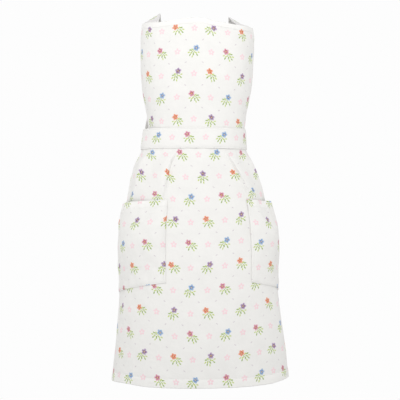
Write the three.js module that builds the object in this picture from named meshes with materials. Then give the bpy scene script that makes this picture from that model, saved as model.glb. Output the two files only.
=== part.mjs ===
import * as THREE from "three";

// A kids apron in white printed cotton, in the form it has when worn.
// Lengths are in millimetres and angles in degrees. X runs to the right as seen from the front,
// the front faces -Y, and +Z is up. The origin is the top of the shoulder straps, midway between them.

// Heights, from the top down.
const strap_rise = 20;
const bib_height = 185.5;
const waistband_height = 35;
const skirt_length = 404;

// The form that the cloth lies on: half widths, and depths from the middle to the front and to the back.
const chest_half_width = 99.5;
const chest_front = 77;
const chest_back = 64;
const waist_half_width = 84.9;
const waist_front = 70;
const waist_back = 60;
const skirt_top_half_width = 88.4;
const skirt_top_front = 74;
const skirt_top_back = 63;
const hem_half_width = 155.2;
const hem_front = 106;
const hem_back = 88;
const side_lean = 9;
const squareness = 0.09;

// Cloth and the clearance between pieces.
const cloth_wall = 1.3;
const hem_wall = 2.1;
const waistband_wall = 2;
const strap_wall = 2;
const tie_wall = 1.8;
const clearance = 0.3;
const layer_gap = 0.6;

// Hems and seams.
const bib_hem = 9;
const side_hem = 8;
const skirt_hem = 14.5;
const pocket_hem = 11;
const seam_allowance = 10;
const strap_tuck = 14;

// How far each panel reaches round, from the middle of the front.
const waistband_wrap = 130;
const skirt_wrap = 112;
const bib_crown = 9;
const hem_lift = 7;
const bib_margin = 2;

// How the apron hangs: it has turned a little round the hips and stands off the left of the waist.
const swing = 11;
const left_gape = 6.4;

// Shoulder straps.
const strap_width = 31.5;
const strap_half_span = 74;
const strap_shift = -9.7;
const strap_tilt = 6;
const shoulder_slope = 32;
const crest_back = 8;
const crest_lead = 4;
const crest_run = 9;
const crest_fall = 5;
const strap_foot_angle = 58;
const strap_foot_flare = 1.62;
const strap_end_slant = 50;

// Patch pockets.
const pocket_drop = 88;
const pocket_height = 140;
const pocket_mouth_width = 122;
const pocket_base_width = 153;
const pocket_angle = 67;
const pocket_mouth_dip = 10;
const pocket_base_dip = 25;
const pocket_bulge_left = 14;
const pocket_bulge_right = 15.5;

// Pleats and soft folds of the skirt.
const pleat_depth = 5;

// Ties, knot and tails at the back.
const tie_width = 26;
const tie_pinch = 14;
const knot_half_width = 14;
const knot_half_depth = 8;
const knot_half_height = 12;
const tail_length = 175;
const tail_spread = 24;
const tail_sway = 5;

// Sides of the bib, from its top edge down. reach is the share of the way from the top corner to the waist.
const bib_side_rows = [
  { down: 0.0, reach: 0.0 },
  { down: 0.09, reach: 0.42 },
  { down: 0.22, reach: 0.8 },
  { down: 0.42, reach: 1.05 },
  { down: 0.7, reach: 1.12 },
  { down: 1.0, reach: 1.0 },
];

// Top edge of the bib. side is the share of its half wrap, drop the share of bib_crown.
const bib_top_rows = [
  { side: -1.0, drop: 0.18 },
  { side: -0.55, drop: 0.54 },
  { side: -0.38, drop: 0.47 },
  { side: -0.12, drop: 0.03 },
  { side: 0.06, drop: 0.0 },
  { side: 0.2, drop: 0.45 },
  { side: 0.39, drop: 0.86 },
  { side: 0.55, drop: 1.08 },
  { side: 1.0, drop: 1.08 },
];

// Lower edge of the skirt. side is the share of its half wrap, lift the share of hem_lift.
const hem_rows = [
  { side: -1.0, lift: 0.1 },
  { side: -0.8, lift: 0.05 },
  { side: -0.42, lift: 0.45 },
  { side: -0.15, lift: 0.0 },
  { side: 0.05, lift: 0.1 },
  { side: 0.28, lift: 0.8 },
  { side: 0.5, lift: 1.05 },
  { side: 1.0, lift: 0.9 },
];

// Form under the bib. waisted is the share of the way from chest to waist, lean the share of side_lean.
const bib_form_rows = [
  { down: 0.0, waisted: 0.08, lean: 0.5 },
  { down: 0.2, waisted: 0.0, lean: 0.5 },
  { down: 0.45, waisted: 0.1, lean: 0.58 },
  { down: 0.66, waisted: 0.34, lean: 0.66 },
  { down: 0.85, waisted: 0.82, lean: 0.66 },
  { down: 1.0, waisted: 1.0, lean: 0.7 },
];

// Form under the skirt. flared is the share of the way from its top to its hem, deep the same for the depth.
const skirt_form_rows = [
  { down: 0.0, flared: 0.0, deep: 0.0, lean: 0.9, turned: 0.33 },
  { down: 0.065, flared: 0.2, deep: 0.14, lean: 0.96, turned: 0.45 },
  { down: 0.13, flared: 0.33, deep: 0.27, lean: 0.9, turned: 0.7 },
  { down: 0.22, flared: 0.45, deep: 0.42, lean: 0.82, turned: 1.0 },
  { down: 0.41, flared: 0.63, deep: 0.64, lean: 0.45, turned: 0.86 },
  { down: 0.65, flared: 0.755, deep: 0.82, lean: 0.15, turned: 0.68 },
  { down: 0.82, flared: 0.88, deep: 0.92, lean: -0.05, turned: 0.7 },
  { down: 1.0, flared: 1.0, deep: 1.0, lean: -0.09, turned: 0.72 },
];

// Folds of the skirt. from and to are their angles at start and end, which are shares of the skirt's length.
// sharp is 0 for a round fold and 1 for a knife pleat, whose step faces the middle of the front.
const fold_rows = [
  { from: -24, to: -42, start: 0.01, end: 0.27, depth: 0.9, width: 9, sharp: 1 },
  { from: -38, to: -34, start: 0.24, end: 0.8, depth: 0.4, width: 11, sharp: 0.2 },
  { from: 29, to: 42, start: 0.01, end: 0.26, depth: 0.8, width: 9, sharp: 1 },
  { from: 43, to: 40, start: 0.24, end: 0.75, depth: 0.35, width: 11, sharp: 0.2 },
  { from: -58, to: -76, start: 0.01, end: 0.32, depth: 0.6, width: 8, sharp: 0.4 },
  { from: 60, to: 72, start: 0.01, end: 0.32, depth: 0.55, width: 9, sharp: 0.4 },
  { from: 5, to: 2, start: 0.03, end: 0.2, depth: 0.35, width: 6, sharp: 0.5 },
  { from: -88, to: -92, start: 0.02, end: 0.9, depth: 0.6, width: 8, sharp: 0.3 },
  { from: 88, to: 92, start: 0.02, end: 0.9, depth: 0.6, width: 8, sharp: 0.3 },
  { from: -46, to: -50, start: 0.5, end: 1.05, depth: 0.5, width: 12, sharp: 0 },
  { from: -8, to: -10, start: 0.35, end: 1.05, depth: 0.45, width: 13, sharp: 0 },
  { from: 24, to: 26, start: 0.4, end: 1.05, depth: 0.4, width: 12, sharp: 0 },
  { from: 58, to: 62, start: 0.5, end: 1.05, depth: 0.5, width: 12, sharp: 0 },
];

// How far the pocket stands off, from its mouth down, as shares of its bulge.
const pocket_bulge_rows = [
  { down: 0.0, off: 0.72 },
  { down: 0.14, off: 0.96 },
  { down: 0.35, off: 1.0 },
  { down: 0.6, off: 0.62 },
  { down: 0.82, off: 0.2 },
  { down: 1.0, off: 0.0 },
];

// Way of a strap down the back. turn is its angle past the middle of the back, and the rest are shares:
// down of the bib's height, over of the lift that takes one strap over the other, held of the waistband's hold.
const strap_back_rows = [
  { turn: -46, down: 0.12, over: 0.4, held: 0 },
  { turn: -27, down: 0.31, over: 1, held: 0 },
  { turn: 2, down: 0.53, over: 1, held: 0 },
  { turn: 34, down: 0.76, over: 1, held: 0 },
  { turn: 56, down: 0.915, over: 0.3, held: 0.6 },
];

// Heights above the floor of the frame, worked out from the sizes.
const bib_top = -strap_rise;
const waistband_top = bib_top - bib_height;
const waist_seam = waistband_top - waistband_height;
const hem_line = waist_seam - skirt_length;
const pocket_top = waist_seam - pocket_drop;

const rad = Math.PI / 180;
const mix = (a, b, t) => a + (b - a) * t;
const ease = (t) => {
  const c = Math.min(1, Math.max(0, t));
  return c * c * (3 - 2 * c);
};
const steps = (count) => Array.from({ length: count + 1 }, (_, i) => i / count);

// The value of one column of a table at a place, on a smooth curve through its rows.
function read(rows, key, want, place) {
  const last = rows.length - 1;
  if (place <= rows[0][key]) return rows[0][want];
  if (place >= rows[last][key]) return rows[last][want];
  let k = 0;
  while (place > rows[k + 1][key]) k++;
  const slope = (i) => {
    const a = rows[Math.max(0, i - 1)];
    const b = rows[Math.min(last, i + 1)];
    return (b[want] - a[want]) / (b[key] - a[key]);
  };
  const a = rows[k];
  const b = rows[k + 1];
  const span = b[key] - a[key];
  const t = (place - a[key]) / span;
  const bend = t * t * (3 - 2 * t);
  const leave = t * (1 - t) * (1 - t);
  const arrive = t * t * (t - 1);
  return mix(a[want], b[want], bend) + span * (leave * slope(k) + arrive * slope(k + 1));
}

// Size of the form at a height.
const chest_size = { half: chest_half_width, front: chest_front, back: chest_back };
const waist_size = { half: waist_half_width, front: waist_front, back: waist_back };
const skirt_top_size = { half: skirt_top_half_width, front: skirt_top_front, back: skirt_top_back };
const hem_size = { half: hem_half_width, front: hem_front, back: hem_back };
const between = (a, b, wide, deep) => ({
  half: mix(a.half, b.half, wide),
  front: mix(a.front, b.front, deep),
  back: mix(a.back, b.back, deep),
});
const form_rows = [
  ...bib_form_rows.map((r) => ({
    depth: strap_rise + r.down * bib_height,
    lean: r.lean,
    turned: 0,
    ...between(chest_size, waist_size, r.waisted, r.waisted),
  })),
  ...skirt_form_rows.map((r) => ({
    depth: strap_rise + bib_height + waistband_height + r.down * skirt_length,
    lean: r.lean,
    turned: r.turned,
    ...between(skirt_top_size, hem_size, r.flared, r.deep),
  })),
];
const formAt = (want, z) => read(form_rows, "depth", want, -z);
const turnAt = (z) => swing * formAt("turned", z);
const radiusAt = (z) => Math.hypot(formAt("half", z), formAt("front", z)) / Math.SQRT2;

// A point on the form at an angle from the middle of the front.
function onForm(angle, z) {
  const s = Math.sin(angle * rad);
  const c = Math.cos(angle * rad);
  const depth = formAt(c > 0 ? "front" : "back", z);
  return new THREE.Vector3(
    formAt("half", z) * s * (1 + squareness * c * c) - side_lean * formAt("lean", z),
    -depth * c * (1 + squareness * s * s),
    z,
  );
}

// Direction out of a surface that is given as point = surface(across, up).
function outOf(surface, a, b) {
  const e = 0.05;
  const da = surface(a + e, b).sub(surface(a - e, b));
  const db = surface(a, b + e).sub(surface(a, b - e));
  return da.cross(db).normalize();
}
const lifted = (surface, a, b, by) => surface(a, b).addScaledVector(outOf(surface, a, b), by);

// A sheet of cloth as a closed solid: two faces a wall apart about the middle surface, and a rim.
function sheet(across, along, place, wall) {
  const at = (i, j) => place(across[i], along[j]);
  const n = across.length;
  const m = along.length;
  const middle = across.map((_, i) => along.map((_, j) => at(i, j)));
  const e = 1e-3;
  const out = (i, j) => {
    const u0 = Math.max(0, across[i] - e);
    const u1 = Math.min(1, across[i] + e);
    const v0 = Math.max(0, along[j] - e);
    const v1 = Math.min(1, along[j] + e);
    const du = place(u1, along[j]).sub(place(u0, along[j]));
    const dv = place(across[i], v0).sub(place(across[i], v1));
    return du.cross(dv).normalize();
  };
  const points = [];
  for (const side of [0.5, -0.5])
    for (let i = 0; i < n; i++)
      for (let j = 0; j < m; j++)
        points.push(middle[i][j].clone().addScaledVector(out(i, j), side * wall(across[i], along[j])));
  const outer = (i, j) => i * m + j;
  const inner = (i, j) => n * m + i * m + j;
  const faces = [];
  const quad = (a, b, c, d) => faces.push(a, b, c, a, c, d);
  for (let i = 0; i + 1 < n; i++)
    for (let j = 0; j + 1 < m; j++) {
      quad(outer(i, j), outer(i, j + 1), outer(i + 1, j + 1), outer(i + 1, j));
      quad(inner(i, j), inner(i + 1, j), inner(i + 1, j + 1), inner(i, j + 1));
    }
  for (let i = 0; i + 1 < n; i++) {
    quad(outer(i, 0), outer(i + 1, 0), inner(i + 1, 0), inner(i, 0));
    quad(outer(i + 1, m - 1), outer(i, m - 1), inner(i, m - 1), inner(i + 1, m - 1));
  }
  for (let j = 0; j + 1 < m; j++) {
    quad(outer(0, j + 1), outer(0, j), inner(0, j), inner(0, j + 1));
    quad(outer(n - 1, j), outer(n - 1, j + 1), inner(n - 1, j + 1), inner(n - 1, j));
  }
  return geometryOf(points, faces);
}

function geometryOf(points, faces) {
  const geometry = new THREE.BufferGeometry();
  const flat = points.flatMap((p) => [p.x, p.y, p.z]);
  geometry.setAttribute("position", new THREE.Float32BufferAttribute(flat, 3));
  geometry.setIndex(faces);
  geometry.computeVertexNormals();
  return geometry;
}

// A narrow step where a hem begins.
const hem_step = 0.8;

// The bib. Its corners follow the feet of the straps, and its lower end goes in behind the waistband.
const foot_half_angle = (strap_width * strap_foot_flare) / 2 / radiusAt(bib_top) / rad;
const bib_corner = strap_foot_angle + foot_half_angle + bib_margin;
const strap_end_width = strap_width / Math.sin(strap_end_slant * rad);
const strap_end_half = strap_end_width / 2 / radiusAt(waistband_top) / rad;
const strap_end_angle = waistband_wrap - strap_end_half - bib_margin;
const bib_waist_wrap = strap_end_angle - strap_end_half - bib_margin * 2;
const bib_length = bib_height + seam_allowance;

const bibTop = (angle) => bib_top - bib_crown * read(bib_top_rows, "side", "drop", angle / bib_corner);
function onBib(u, v) {
  const side = 2 * u - 1;
  const share = v * (bib_length / bib_height);
  const reach = read(bib_side_rows, "down", "reach", share);
  const wrap = mix(bib_corner, bib_waist_wrap, reach);
  return onForm(side * wrap, mix(bibTop(side * bib_corner), bib_top - bib_length, v));
}
const bib_across_hem = side_hem / (2 * radiusAt(bib_top - bib_height / 2) * bib_waist_wrap * rad);
const bib_across = [0, ...steps(26).map((t) => mix(bib_across_hem, 1 - bib_across_hem, t)), 1];
const bib_hem_share = bib_hem / bib_length;
const bib_along = [
  0,
  bib_hem_share,
  ...steps(12).map((t) => mix(bib_hem_share + hem_step / bib_length, 1, t)),
];
const bib_wall = (u, v) => {
  const at_side = u < bib_across_hem / 2 || u > 1 - bib_across_hem / 2;
  return at_side || v <= bib_hem_share ? hem_wall : cloth_wall;
};

// How far the waistband and skirt stand off the form.
const waistband_stand = hem_wall / 2 + layer_gap + waistband_wall / 2;
const gapeAt = (angle, z) => {
  const left = angle > 180 ? 360 - angle : -angle;
  const round = ease((left - 25) / 60) * ease((165 - left) / 60);
  return left_gape * round * ease((z - (waist_seam - pocket_drop)) / (pocket_drop * 1.2));
};
function onWaist(angle, z) {
  const p = onForm(angle, z);
  const flat = outOf(onForm, angle, z).setZ(0).normalize();
  return p.addScaledVector(flat, gapeAt(angle, z));
}

// The waistband.
function onWaistband(u, v) {
  const z = mix(waistband_top, waist_seam, v);
  const angle = mix(-waistband_wrap, waistband_wrap, u);
  return lifted(onWaist, angle, z, waistband_stand);
}

// Height of one fold of the skirt, at the garment's own angle.
function foldAt(row, angle, share) {
  const t = (share - row.start) / (row.end - row.start);
  const strength = ease(t * 6) * ease((1 - t) * 2.2);
  if (strength <= 0) return 0;
  const middle = mix(row.from, row.to, Math.min(1, Math.max(0, t)));
  const inward = (middle > 0 ? middle - angle : angle - middle) / row.width;
  const round = Math.exp(-inward * inward);
  const back = Math.exp(-Math.pow(Math.min(0, inward + 0.15), 2) * 0.8);
  const knife = inward < 0.25 ? back * ease((0.25 - inward) / 0.4) : 0;
  return row.depth * strength * mix(round, knife, row.sharp);
}

// The skirt at the garment's own angle and a height.
function onSkirt(angle, z) {
  const share = (waist_seam - z) / skirt_length;
  const turned = angle + turnAt(z);
  const folds = fold_rows.reduce((sum, row) => sum + foldAt(row, angle, share), 0);
  return lifted(onWaist, turned, z, pleat_depth * folds);
}
const skirt_height = skirt_length + seam_allowance;
function onSkirtPanel(u, v) {
  const side = 2 * u - 1;
  const low = hem_line + hem_lift * read(hem_rows, "side", "lift", side);
  return onSkirt(side * skirt_wrap, mix(waist_seam + seam_allowance, low, v));
}
const skirt_across_hem = side_hem / (2 * radiusAt(hem_line) * skirt_wrap * rad);
const skirt_across = [0, ...steps(54).map((t) => mix(skirt_across_hem, 1 - skirt_across_hem, t)), 1];
const skirt_hem_share = 1 - skirt_hem / skirt_height;
const skirt_seam_share = seam_allowance / skirt_height;
const skirt_along = [
  0,
  ...steps(20).map((t) => mix(skirt_seam_share, skirt_hem_share - hem_step / skirt_height, t)),
  skirt_hem_share,
  1,
];
const skirt_wall = (u, v) => {
  const at_side = u < skirt_across_hem / 2 || u > 1 - skirt_across_hem / 2;
  const at_foot = v >= skirt_hem_share;
  return (at_side && v > seam_allowance / skirt_height) || at_foot ? hem_wall : cloth_wall;
};

// A patch pocket. side is -1 for the left one and 1 for the right one.
function pocket(side, bulge) {
  const seat = cloth_wall / 2 + layer_gap + hem_wall / 2;
  const place = (u, v) => {
    const a = side > 0 ? u : 1 - u;
    const drop = mix(pocket_mouth_dip, pocket_base_dip, v) * a;
    const z = pocket_top - v * pocket_height - drop;
    const width = mix(pocket_mouth_width, pocket_base_width, v);
    const half = width / 2 / radiusAt(pocket_top - v * pocket_height) / rad;
    const angle = side * (pocket_angle + (2 * a - 1) * half);
    const round = Math.pow(Math.sin(Math.PI * Math.pow(a, 0.82)), 0.75);
    const off = bulge * round * read(pocket_bulge_rows, "down", "off", v);
    return lifted(onSkirt, angle, z, seat + off);
  };
  const hem_share = pocket_hem / pocket_height;
  const along = [0, hem_share, ...steps(9).map((t) => mix(hem_share + hem_step / pocket_height, 1, t))];
  return sheet(steps(16), along, place, (u, v) => (v <= hem_share ? hem_wall : cloth_wall));
}

// A point behind the middle of the back.
const onBack = (turn, z) => onForm(180 + turn, z);

// A shoulder strap. side is -1 for the left one and 1 for the right one, over is 1 for the upper one.
function strap(side, over) {
  const behind_bib = -(hem_wall / 2 + layer_gap + strap_wall / 2);
  const slope = shoulder_slope * rad;
  const crest_x = strap_shift + side * strap_half_span;
  const crest_top = -strap_wall / 2 - (side > 0 ? strap_tilt : 0);
  const foot = (u, rise) => {
    const angle = side * mix(strap_foot_angle + foot_half_angle, strap_foot_angle - foot_half_angle, u);
    return lifted(onForm, angle, bibTop(angle) + rise, behind_bib);
  };
  const crest = (u, back, down) =>
    new THREE.Vector3(
      crest_x - side * (u - 0.5) * strap_width * Math.cos(slope),
      crest_back + back,
      crest_top - (1 - u) * strap_width * Math.sin(slope) - down,
    );
  const over_lift = over * (strap_wall + layer_gap * 2);
  const back_z = (row) => bib_top - row.down * bib_height;
  const backRow = (row, next) => {
    const z = back_z(row);
    const radius = formAt("back", z);
    const run = (next.turn - row.turn) * rad * radius;
    const fall = back_z(next) - z;
    const length = Math.hypot(run, fall);
    return (u) => {
      const t = (u - 0.5) * strap_width;
      const turn = row.turn + (t * -fall) / length / radius / rad;
      const high = z + (t * run) / length;
      const lift = row.over * over_lift + row.held * gapeAt(180 + side * turn, waistband_top);
      return lifted(onBack, side * turn, high, strap_wall / 2 + lift);
    };
  };
  const endRow = (z) => (u) => {
    const turn = 180 - strap_end_angle + (u - 0.5) * 2 * strap_end_half;
    const inside = waistband_stand - waistband_wall / 2 - layer_gap - strap_wall / 2;
    return lifted((a, b) => onWaist(180 + a, b), side * turn, z, inside);
  };
  const rows = [
    (u) => foot(u, -strap_tuck),
    (u) => foot(u, 0),
    (u) => foot(u, 0).lerp(crest(u, 0, 0), 0.5),
    (u) => crest(u, -crest_lead, 0),
    (u) => crest(u, crest_run, crest_fall),
    ...strap_back_rows.map((row, k) => backRow(row, strap_back_rows[k + 1] ?? { turn: 68, down: 1.02 })),
    endRow(waistband_top + 2),
    endRow(waistband_top - strap_tuck),
  ];
  const place = (u, v) => {
    const last = rows.length - 1;
    const t = v * last;
    const k = Math.min(last - 1, Math.floor(t));
    const near = [k - 1, k, k + 1, k + 2].map((i) => rows[Math.min(last, Math.max(0, i))](u));
    return between4(near, t - k);
  };
  return sheet(steps(4), steps((rows.length - 1) * 2), place, () => strap_wall);
}

// A point between the middle two of four, on a smooth curve through them that swings past none of them.
function between4([p0, p1, p2, p3], t) {
  const slope = (before, after) => (before * after <= 0 ? 0 : (2 * before * after) / (before + after));
  const one = (key) => {
    const leave = slope(p1[key] - p0[key], p2[key] - p1[key]);
    const arrive = slope(p2[key] - p1[key], p3[key] - p2[key]);
    const bend = t * t * (3 - 2 * t);
    return mix(p1[key], p2[key], bend) + leave * t * (1 - t) * (1 - t) + arrive * t * t * (t - 1);
  };
  return new THREE.Vector3(one("x"), one("y"), one("z"));
}

// The knot behind the middle of the back, and the ties that run to it.
const tie_height = (waistband_top + waist_seam) / 2;
const tie_stand = waistband_stand;
const knot_stand = knot_half_depth + clearance;
const knot_centre = onBack(0, tie_height).add(new THREE.Vector3(0, knot_stand, 0));

function tie(side) {
  const start = waistband_wrap + (clearance / formAt("back", tie_height)) / rad;
  const knot_reach = knot_half_width + clearance;
  const half = formAt("half", tie_height);
  const round_back = (half * half) / formAt("back", tie_height);
  const spread = half * (1 + squareness) * (1 + knot_stand / round_back);
  const end = 180 - Math.asin(knot_reach / spread) / rad;
  const place = (u, v) => {
    const t = side > 0 ? u : 1 - u;
    const angle = side * mix(start, end, t);
    const width = mix(tie_width, tie_pinch, ease((t - 0.35) / 0.65));
    const stand = mix(tie_stand, knot_stand, ease((t - 0.45) / 0.55));
    return lifted(onWaist, angle, tie_height + (0.5 - v) * width, stand);
  };
  return sheet(steps(12), steps(2), place, () => tie_wall);
}

function knot() {
  const around = 16;
  const layers = 9;
  const points = [];
  const faces = [];
  const at = (turn, rise) => {
    const c = Math.cos(rise);
    const lobe = 1 + 0.1 * Math.cos(2 * turn) * c;
    return new THREE.Vector3(
      knot_centre.x + knot_half_width * Math.cos(turn) * c,
      knot_centre.y + knot_half_depth * Math.sin(turn) * c * lobe,
      knot_centre.z + knot_half_height * Math.sin(rise),
    );
  };
  for (let k = 1; k < layers; k++)
    for (let i = 0; i < around; i++)
      points.push(at((i / around) * 2 * Math.PI, (k / layers - 0.5) * Math.PI));
  const low = points.push(at(0, -Math.PI / 2)) - 1;
  const high = points.push(at(0, Math.PI / 2)) - 1;
  for (let i = 0; i < around; i++) {
    const next = (i + 1) % around;
    faces.push(low, next, i);
    faces.push(high, (layers - 2) * around + i, (layers - 2) * around + next);
    for (let k = 0; k < layers - 2; k++) {
      const a = k * around + i;
      const b = k * around + next;
      faces.push(a, b, b + around, a, b + around, a + around);
    }
  }
  return geometryOf(points, faces);
}

function tail(side) {
  const top = knot_centre.z - knot_half_height - clearance;
  const place = (u, v) => {
    const width = mix(tie_pinch * 0.7, tie_width, ease(v * 2.2));
    const lean = tail_spread * (0.35 * v + 0.65 * v * v);
    const twist = side * 26 * Math.sin(v * 2.6) * rad;
    const x = side * (width / 2 + clearance + lean);
    const across = (u - 0.5) * width;
    const sway = tail_sway * Math.sin(v * Math.PI * 1.3);
    return new THREE.Vector3(
      knot_centre.x + x - across * Math.cos(twist),
      knot_centre.y + sway + across * Math.sin(twist),
      top - v * tail_length,
    );
  };
  return sheet(steps(2), steps(14), place, () => tie_wall);
}

// Finishes.
const cotton = (color) => new THREE.MeshStandardMaterial({ color, roughness: 0.88, metalness: 0 });
const apron = new THREE.Group();
function add(name, geometry, color = 0xf2f3f1) {
  const mesh = new THREE.Mesh(geometry, cotton(color));
  mesh.name = name;
  apron.add(mesh);
}

add("bib", sheet(bib_across, bib_along, onBib, bib_wall));
add("waistband", sheet(steps(48), steps(3), onWaistband, () => waistband_wall));
add("skirt", sheet(skirt_across, skirt_along, onSkirtPanel, skirt_wall));
add("pocket_left", pocket(-1, pocket_bulge_left));
add("pocket_right", pocket(1, pocket_bulge_right));
add("shoulder_strap_left", strap(-1, 0));
add("shoulder_strap_right", strap(1, 1));
add("waist_tie_left", tie(-1));
add("waist_tie_right", tie(1));
add("tie_knot", knot());
add("tie_tail_left", tail(-1));
add("tie_tail_right", tail(1));

export default apron;
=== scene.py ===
# %% [markdown]
# A child's pinafore apron in printed cotton.
# It has a bib, a waistband, a pleated skirt with two patch pockets, straps that cross at the back and ties.
# We build it sheet by sheet, in the form that it has when worn, on top of the packed model's frame.

# %% Load the packed model
import math

import bpy
import numpy as np
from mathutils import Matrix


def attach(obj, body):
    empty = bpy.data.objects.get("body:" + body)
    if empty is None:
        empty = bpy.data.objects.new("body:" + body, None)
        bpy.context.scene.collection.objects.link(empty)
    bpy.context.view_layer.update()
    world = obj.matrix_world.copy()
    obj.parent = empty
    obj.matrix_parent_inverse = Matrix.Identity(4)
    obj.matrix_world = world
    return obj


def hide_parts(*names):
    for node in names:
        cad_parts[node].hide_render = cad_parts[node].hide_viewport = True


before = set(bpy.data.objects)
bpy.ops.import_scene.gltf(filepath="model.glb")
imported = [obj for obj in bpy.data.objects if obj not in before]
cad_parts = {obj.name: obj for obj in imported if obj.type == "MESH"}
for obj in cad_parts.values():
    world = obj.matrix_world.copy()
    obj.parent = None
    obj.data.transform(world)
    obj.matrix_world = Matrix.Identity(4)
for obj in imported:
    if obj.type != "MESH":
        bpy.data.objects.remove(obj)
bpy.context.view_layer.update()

# %% [markdown]
# The camera stands 2.2 m in front, level with the middle of the skirt, as in the photograph.
# Seen from there the whole picture is 704 mm wide where the apron's sides are, and that sets the lens.

# %% Camera
camera_away = 2.2
camera_height = -0.329
picture_width = 0.7044

camera_data = bpy.data.cameras.new("camera")
camera_data.sensor_width = 36
camera_data.lens = camera_data.sensor_width * camera_away / picture_width
camera_data.clip_end = 60
camera = bpy.data.objects.new("camera", camera_data)
camera.location = (0, -camera_away, camera_height)
camera.rotation_euler = (math.pi / 2, 0, 0)
bpy.context.scene.collection.objects.link(camera)
bpy.context.scene.camera = camera
print("lens", round(camera_data.lens, 2), "mm")

# %% [markdown]
# The sizes come from the same drawing as the packed model, in millimetres and degrees.
# Each table is a few rows of a smooth curve: a place along the apron, and a share of a size there.

# %% Sizes
strap_rise, bib_height, waistband_height, skirt_length = 20, 185.5, 35, 404
side_lean, squareness = 9, 0.09
cloth_wall, hem_wall, waistband_wall, strap_wall, tie_wall = 1.0, 1.9, 1.3, 1.8, 1.6
clearance, layer_gap = 0.3, 0.55
bib_hem, side_hem, skirt_hem, pocket_hem = 9, 8, 14.5, 11
seam_allowance, strap_tuck = 10, 14
waistband_wrap, skirt_wrap, bib_crown, hem_lift, bib_margin = 130, 112, 9, 7, 2
swing, left_gape = 11, 6.4
strap_width, strap_half_span, strap_shift, strap_tilt, shoulder_slope = 31.5, 74, -9.7, 6, 32
crest_back, crest_lead, crest_run, crest_fall = 8, 4, 9, 5
strap_foot_angle, strap_foot_flare, strap_end_slant = 58, 1.62, 50
pocket_drop, pocket_height, pocket_mouth_width, pocket_base_width = 88, 140, 122, 153
pocket_angle, pocket_mouth_dip, pocket_base_dip = 67, 10, 25
pocket_bulge = {-1: 14, 1: 15.5}
pleat_depth = 5
tie_width, tie_pinch = 26, 14
knot_half_width, knot_half_depth, knot_half_height = 14, 8, 12
tail_length, tail_spread, tail_sway = 175, 24, 5

bib_top = -strap_rise
waistband_top = bib_top - bib_height
waist_seam = waistband_top - waistband_height
hem_line = waist_seam - skirt_length
pocket_top = waist_seam - pocket_drop
print("length from the bib's top to the hem", bib_top - hem_line, "mm")

# %% [markdown]
# Under the apron is a body, drawn as an oval at each height, and these tables hold its widths, depths and lean.
# Others hold the edges of bib and skirt, how far the pockets stand off, the skirt's folds and the straps' way.

# %% Tables of the form and its edges
chest = {"half": 99.5, "front": 77, "back": 64}
waist = {"half": 84.9, "front": 70, "back": 60}
skirt_top = {"half": 88.4, "front": 74, "back": 63}
hem = {"half": 155.2, "front": 106, "back": 88}

bib_form = {
    "down": [0, 0.2, 0.45, 0.66, 0.85, 1],
    "waisted": [0.08, 0, 0.1, 0.34, 0.82, 1],
    "lean": [0.5, 0.5, 0.58, 0.66, 0.66, 0.7],
}
skirt_form = {
    "down": [0, 0.065, 0.13, 0.22, 0.41, 0.65, 0.82, 1],
    "flared": [0, 0.2, 0.33, 0.45, 0.63, 0.755, 0.88, 1],
    "deep": [0, 0.14, 0.27, 0.42, 0.64, 0.82, 0.92, 1],
    "lean": [0.9, 0.96, 0.9, 0.82, 0.45, 0.15, -0.05, -0.09],
    "turned": [0.33, 0.45, 0.7, 1, 0.86, 0.68, 0.7, 0.72],
}
bib_side = {"down": [0, 0.09, 0.22, 0.42, 0.7, 1], "reach": [0, 0.42, 0.8, 1.05, 1.12, 1]}
bib_edge = {
    "side": [-1, -0.55, -0.38, -0.12, 0.06, 0.2, 0.39, 0.55, 1],
    "drop": [0.18, 0.54, 0.47, 0.03, 0, 0.45, 0.86, 1.08, 1.08],
}
hem_edge = {
    "side": [-1, -0.8, -0.42, -0.15, 0.05, 0.28, 0.5, 1],
    "lift": [0.1, 0.05, 0.45, 0, 0.1, 0.8, 1.05, 0.9],
}
pocket_off = {"down": [0, 0.14, 0.35, 0.6, 0.82, 1], "off": [0.72, 0.96, 1, 0.62, 0.2, 0]}
# Folds of the skirt: angle at start and end, start and end as shares of its length, depth as a share of
# pleat_depth, width in degrees, and sharpness, which is 1 for a knife pleat and 0 for a round fold.
folds = [
    (-24, -42, 0.01, 0.27, 1.3, 9, 1),
    (-38, -34, 0.24, 0.8, 0.6, 11, 0.2),
    (29, 42, 0.01, 0.26, 1.1, 9, 1),
    (43, 40, 0.24, 0.75, 0.35, 11, 0.2),
    (-58, -76, 0.01, 0.32, 1.1, 8, 0.25),
    (60, 72, 0.01, 0.32, 0.8, 9, 0.25),
    (5, 2, 0.03, 0.2, 0.35, 6, 0.5),
    (-88, -92, 0.02, 0.9, 0.6, 8, 0.3),
    (88, 92, 0.02, 0.9, 0.6, 8, 0.3),
    (-46, -50, 0.5, 1.05, 0.5, 12, 0),
    (-8, -10, 0.35, 1.05, 0.45, 13, 0),
    (24, 26, 0.4, 1.05, 0.4, 12, 0),
    (58, 62, 0.5, 1.05, 0.5, 12, 0),
]
# Way of a strap down the back: angle past the middle, share of the bib's height, how much of the lift over the
# other strap it has there, and how much of the gape at the waist it follows.
strap_back = [(-46, 0.12, 0.4, 0), (-27, 0.31, 1, 0), (2, 0.53, 1, 0), (34, 0.76, 1, 0), (56, 0.915, 0.3, 0.6)]
print("folds", len(folds))

# %% [markdown]
# Three small functions do most of the work. mix goes from one value to another, ease makes that way smooth at
# both ends, and curve reads a table at any place, on a smooth line through its rows.
# They work on whole arrays of points at once, which is what makes fine grids quick to build.

# %% Functions for smooth curves
def mix(a, b, t):
    return a + (b - a) * t


def ease(t):
    c = np.clip(t, 0, 1)
    return c * c * (3 - 2 * c)


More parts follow.
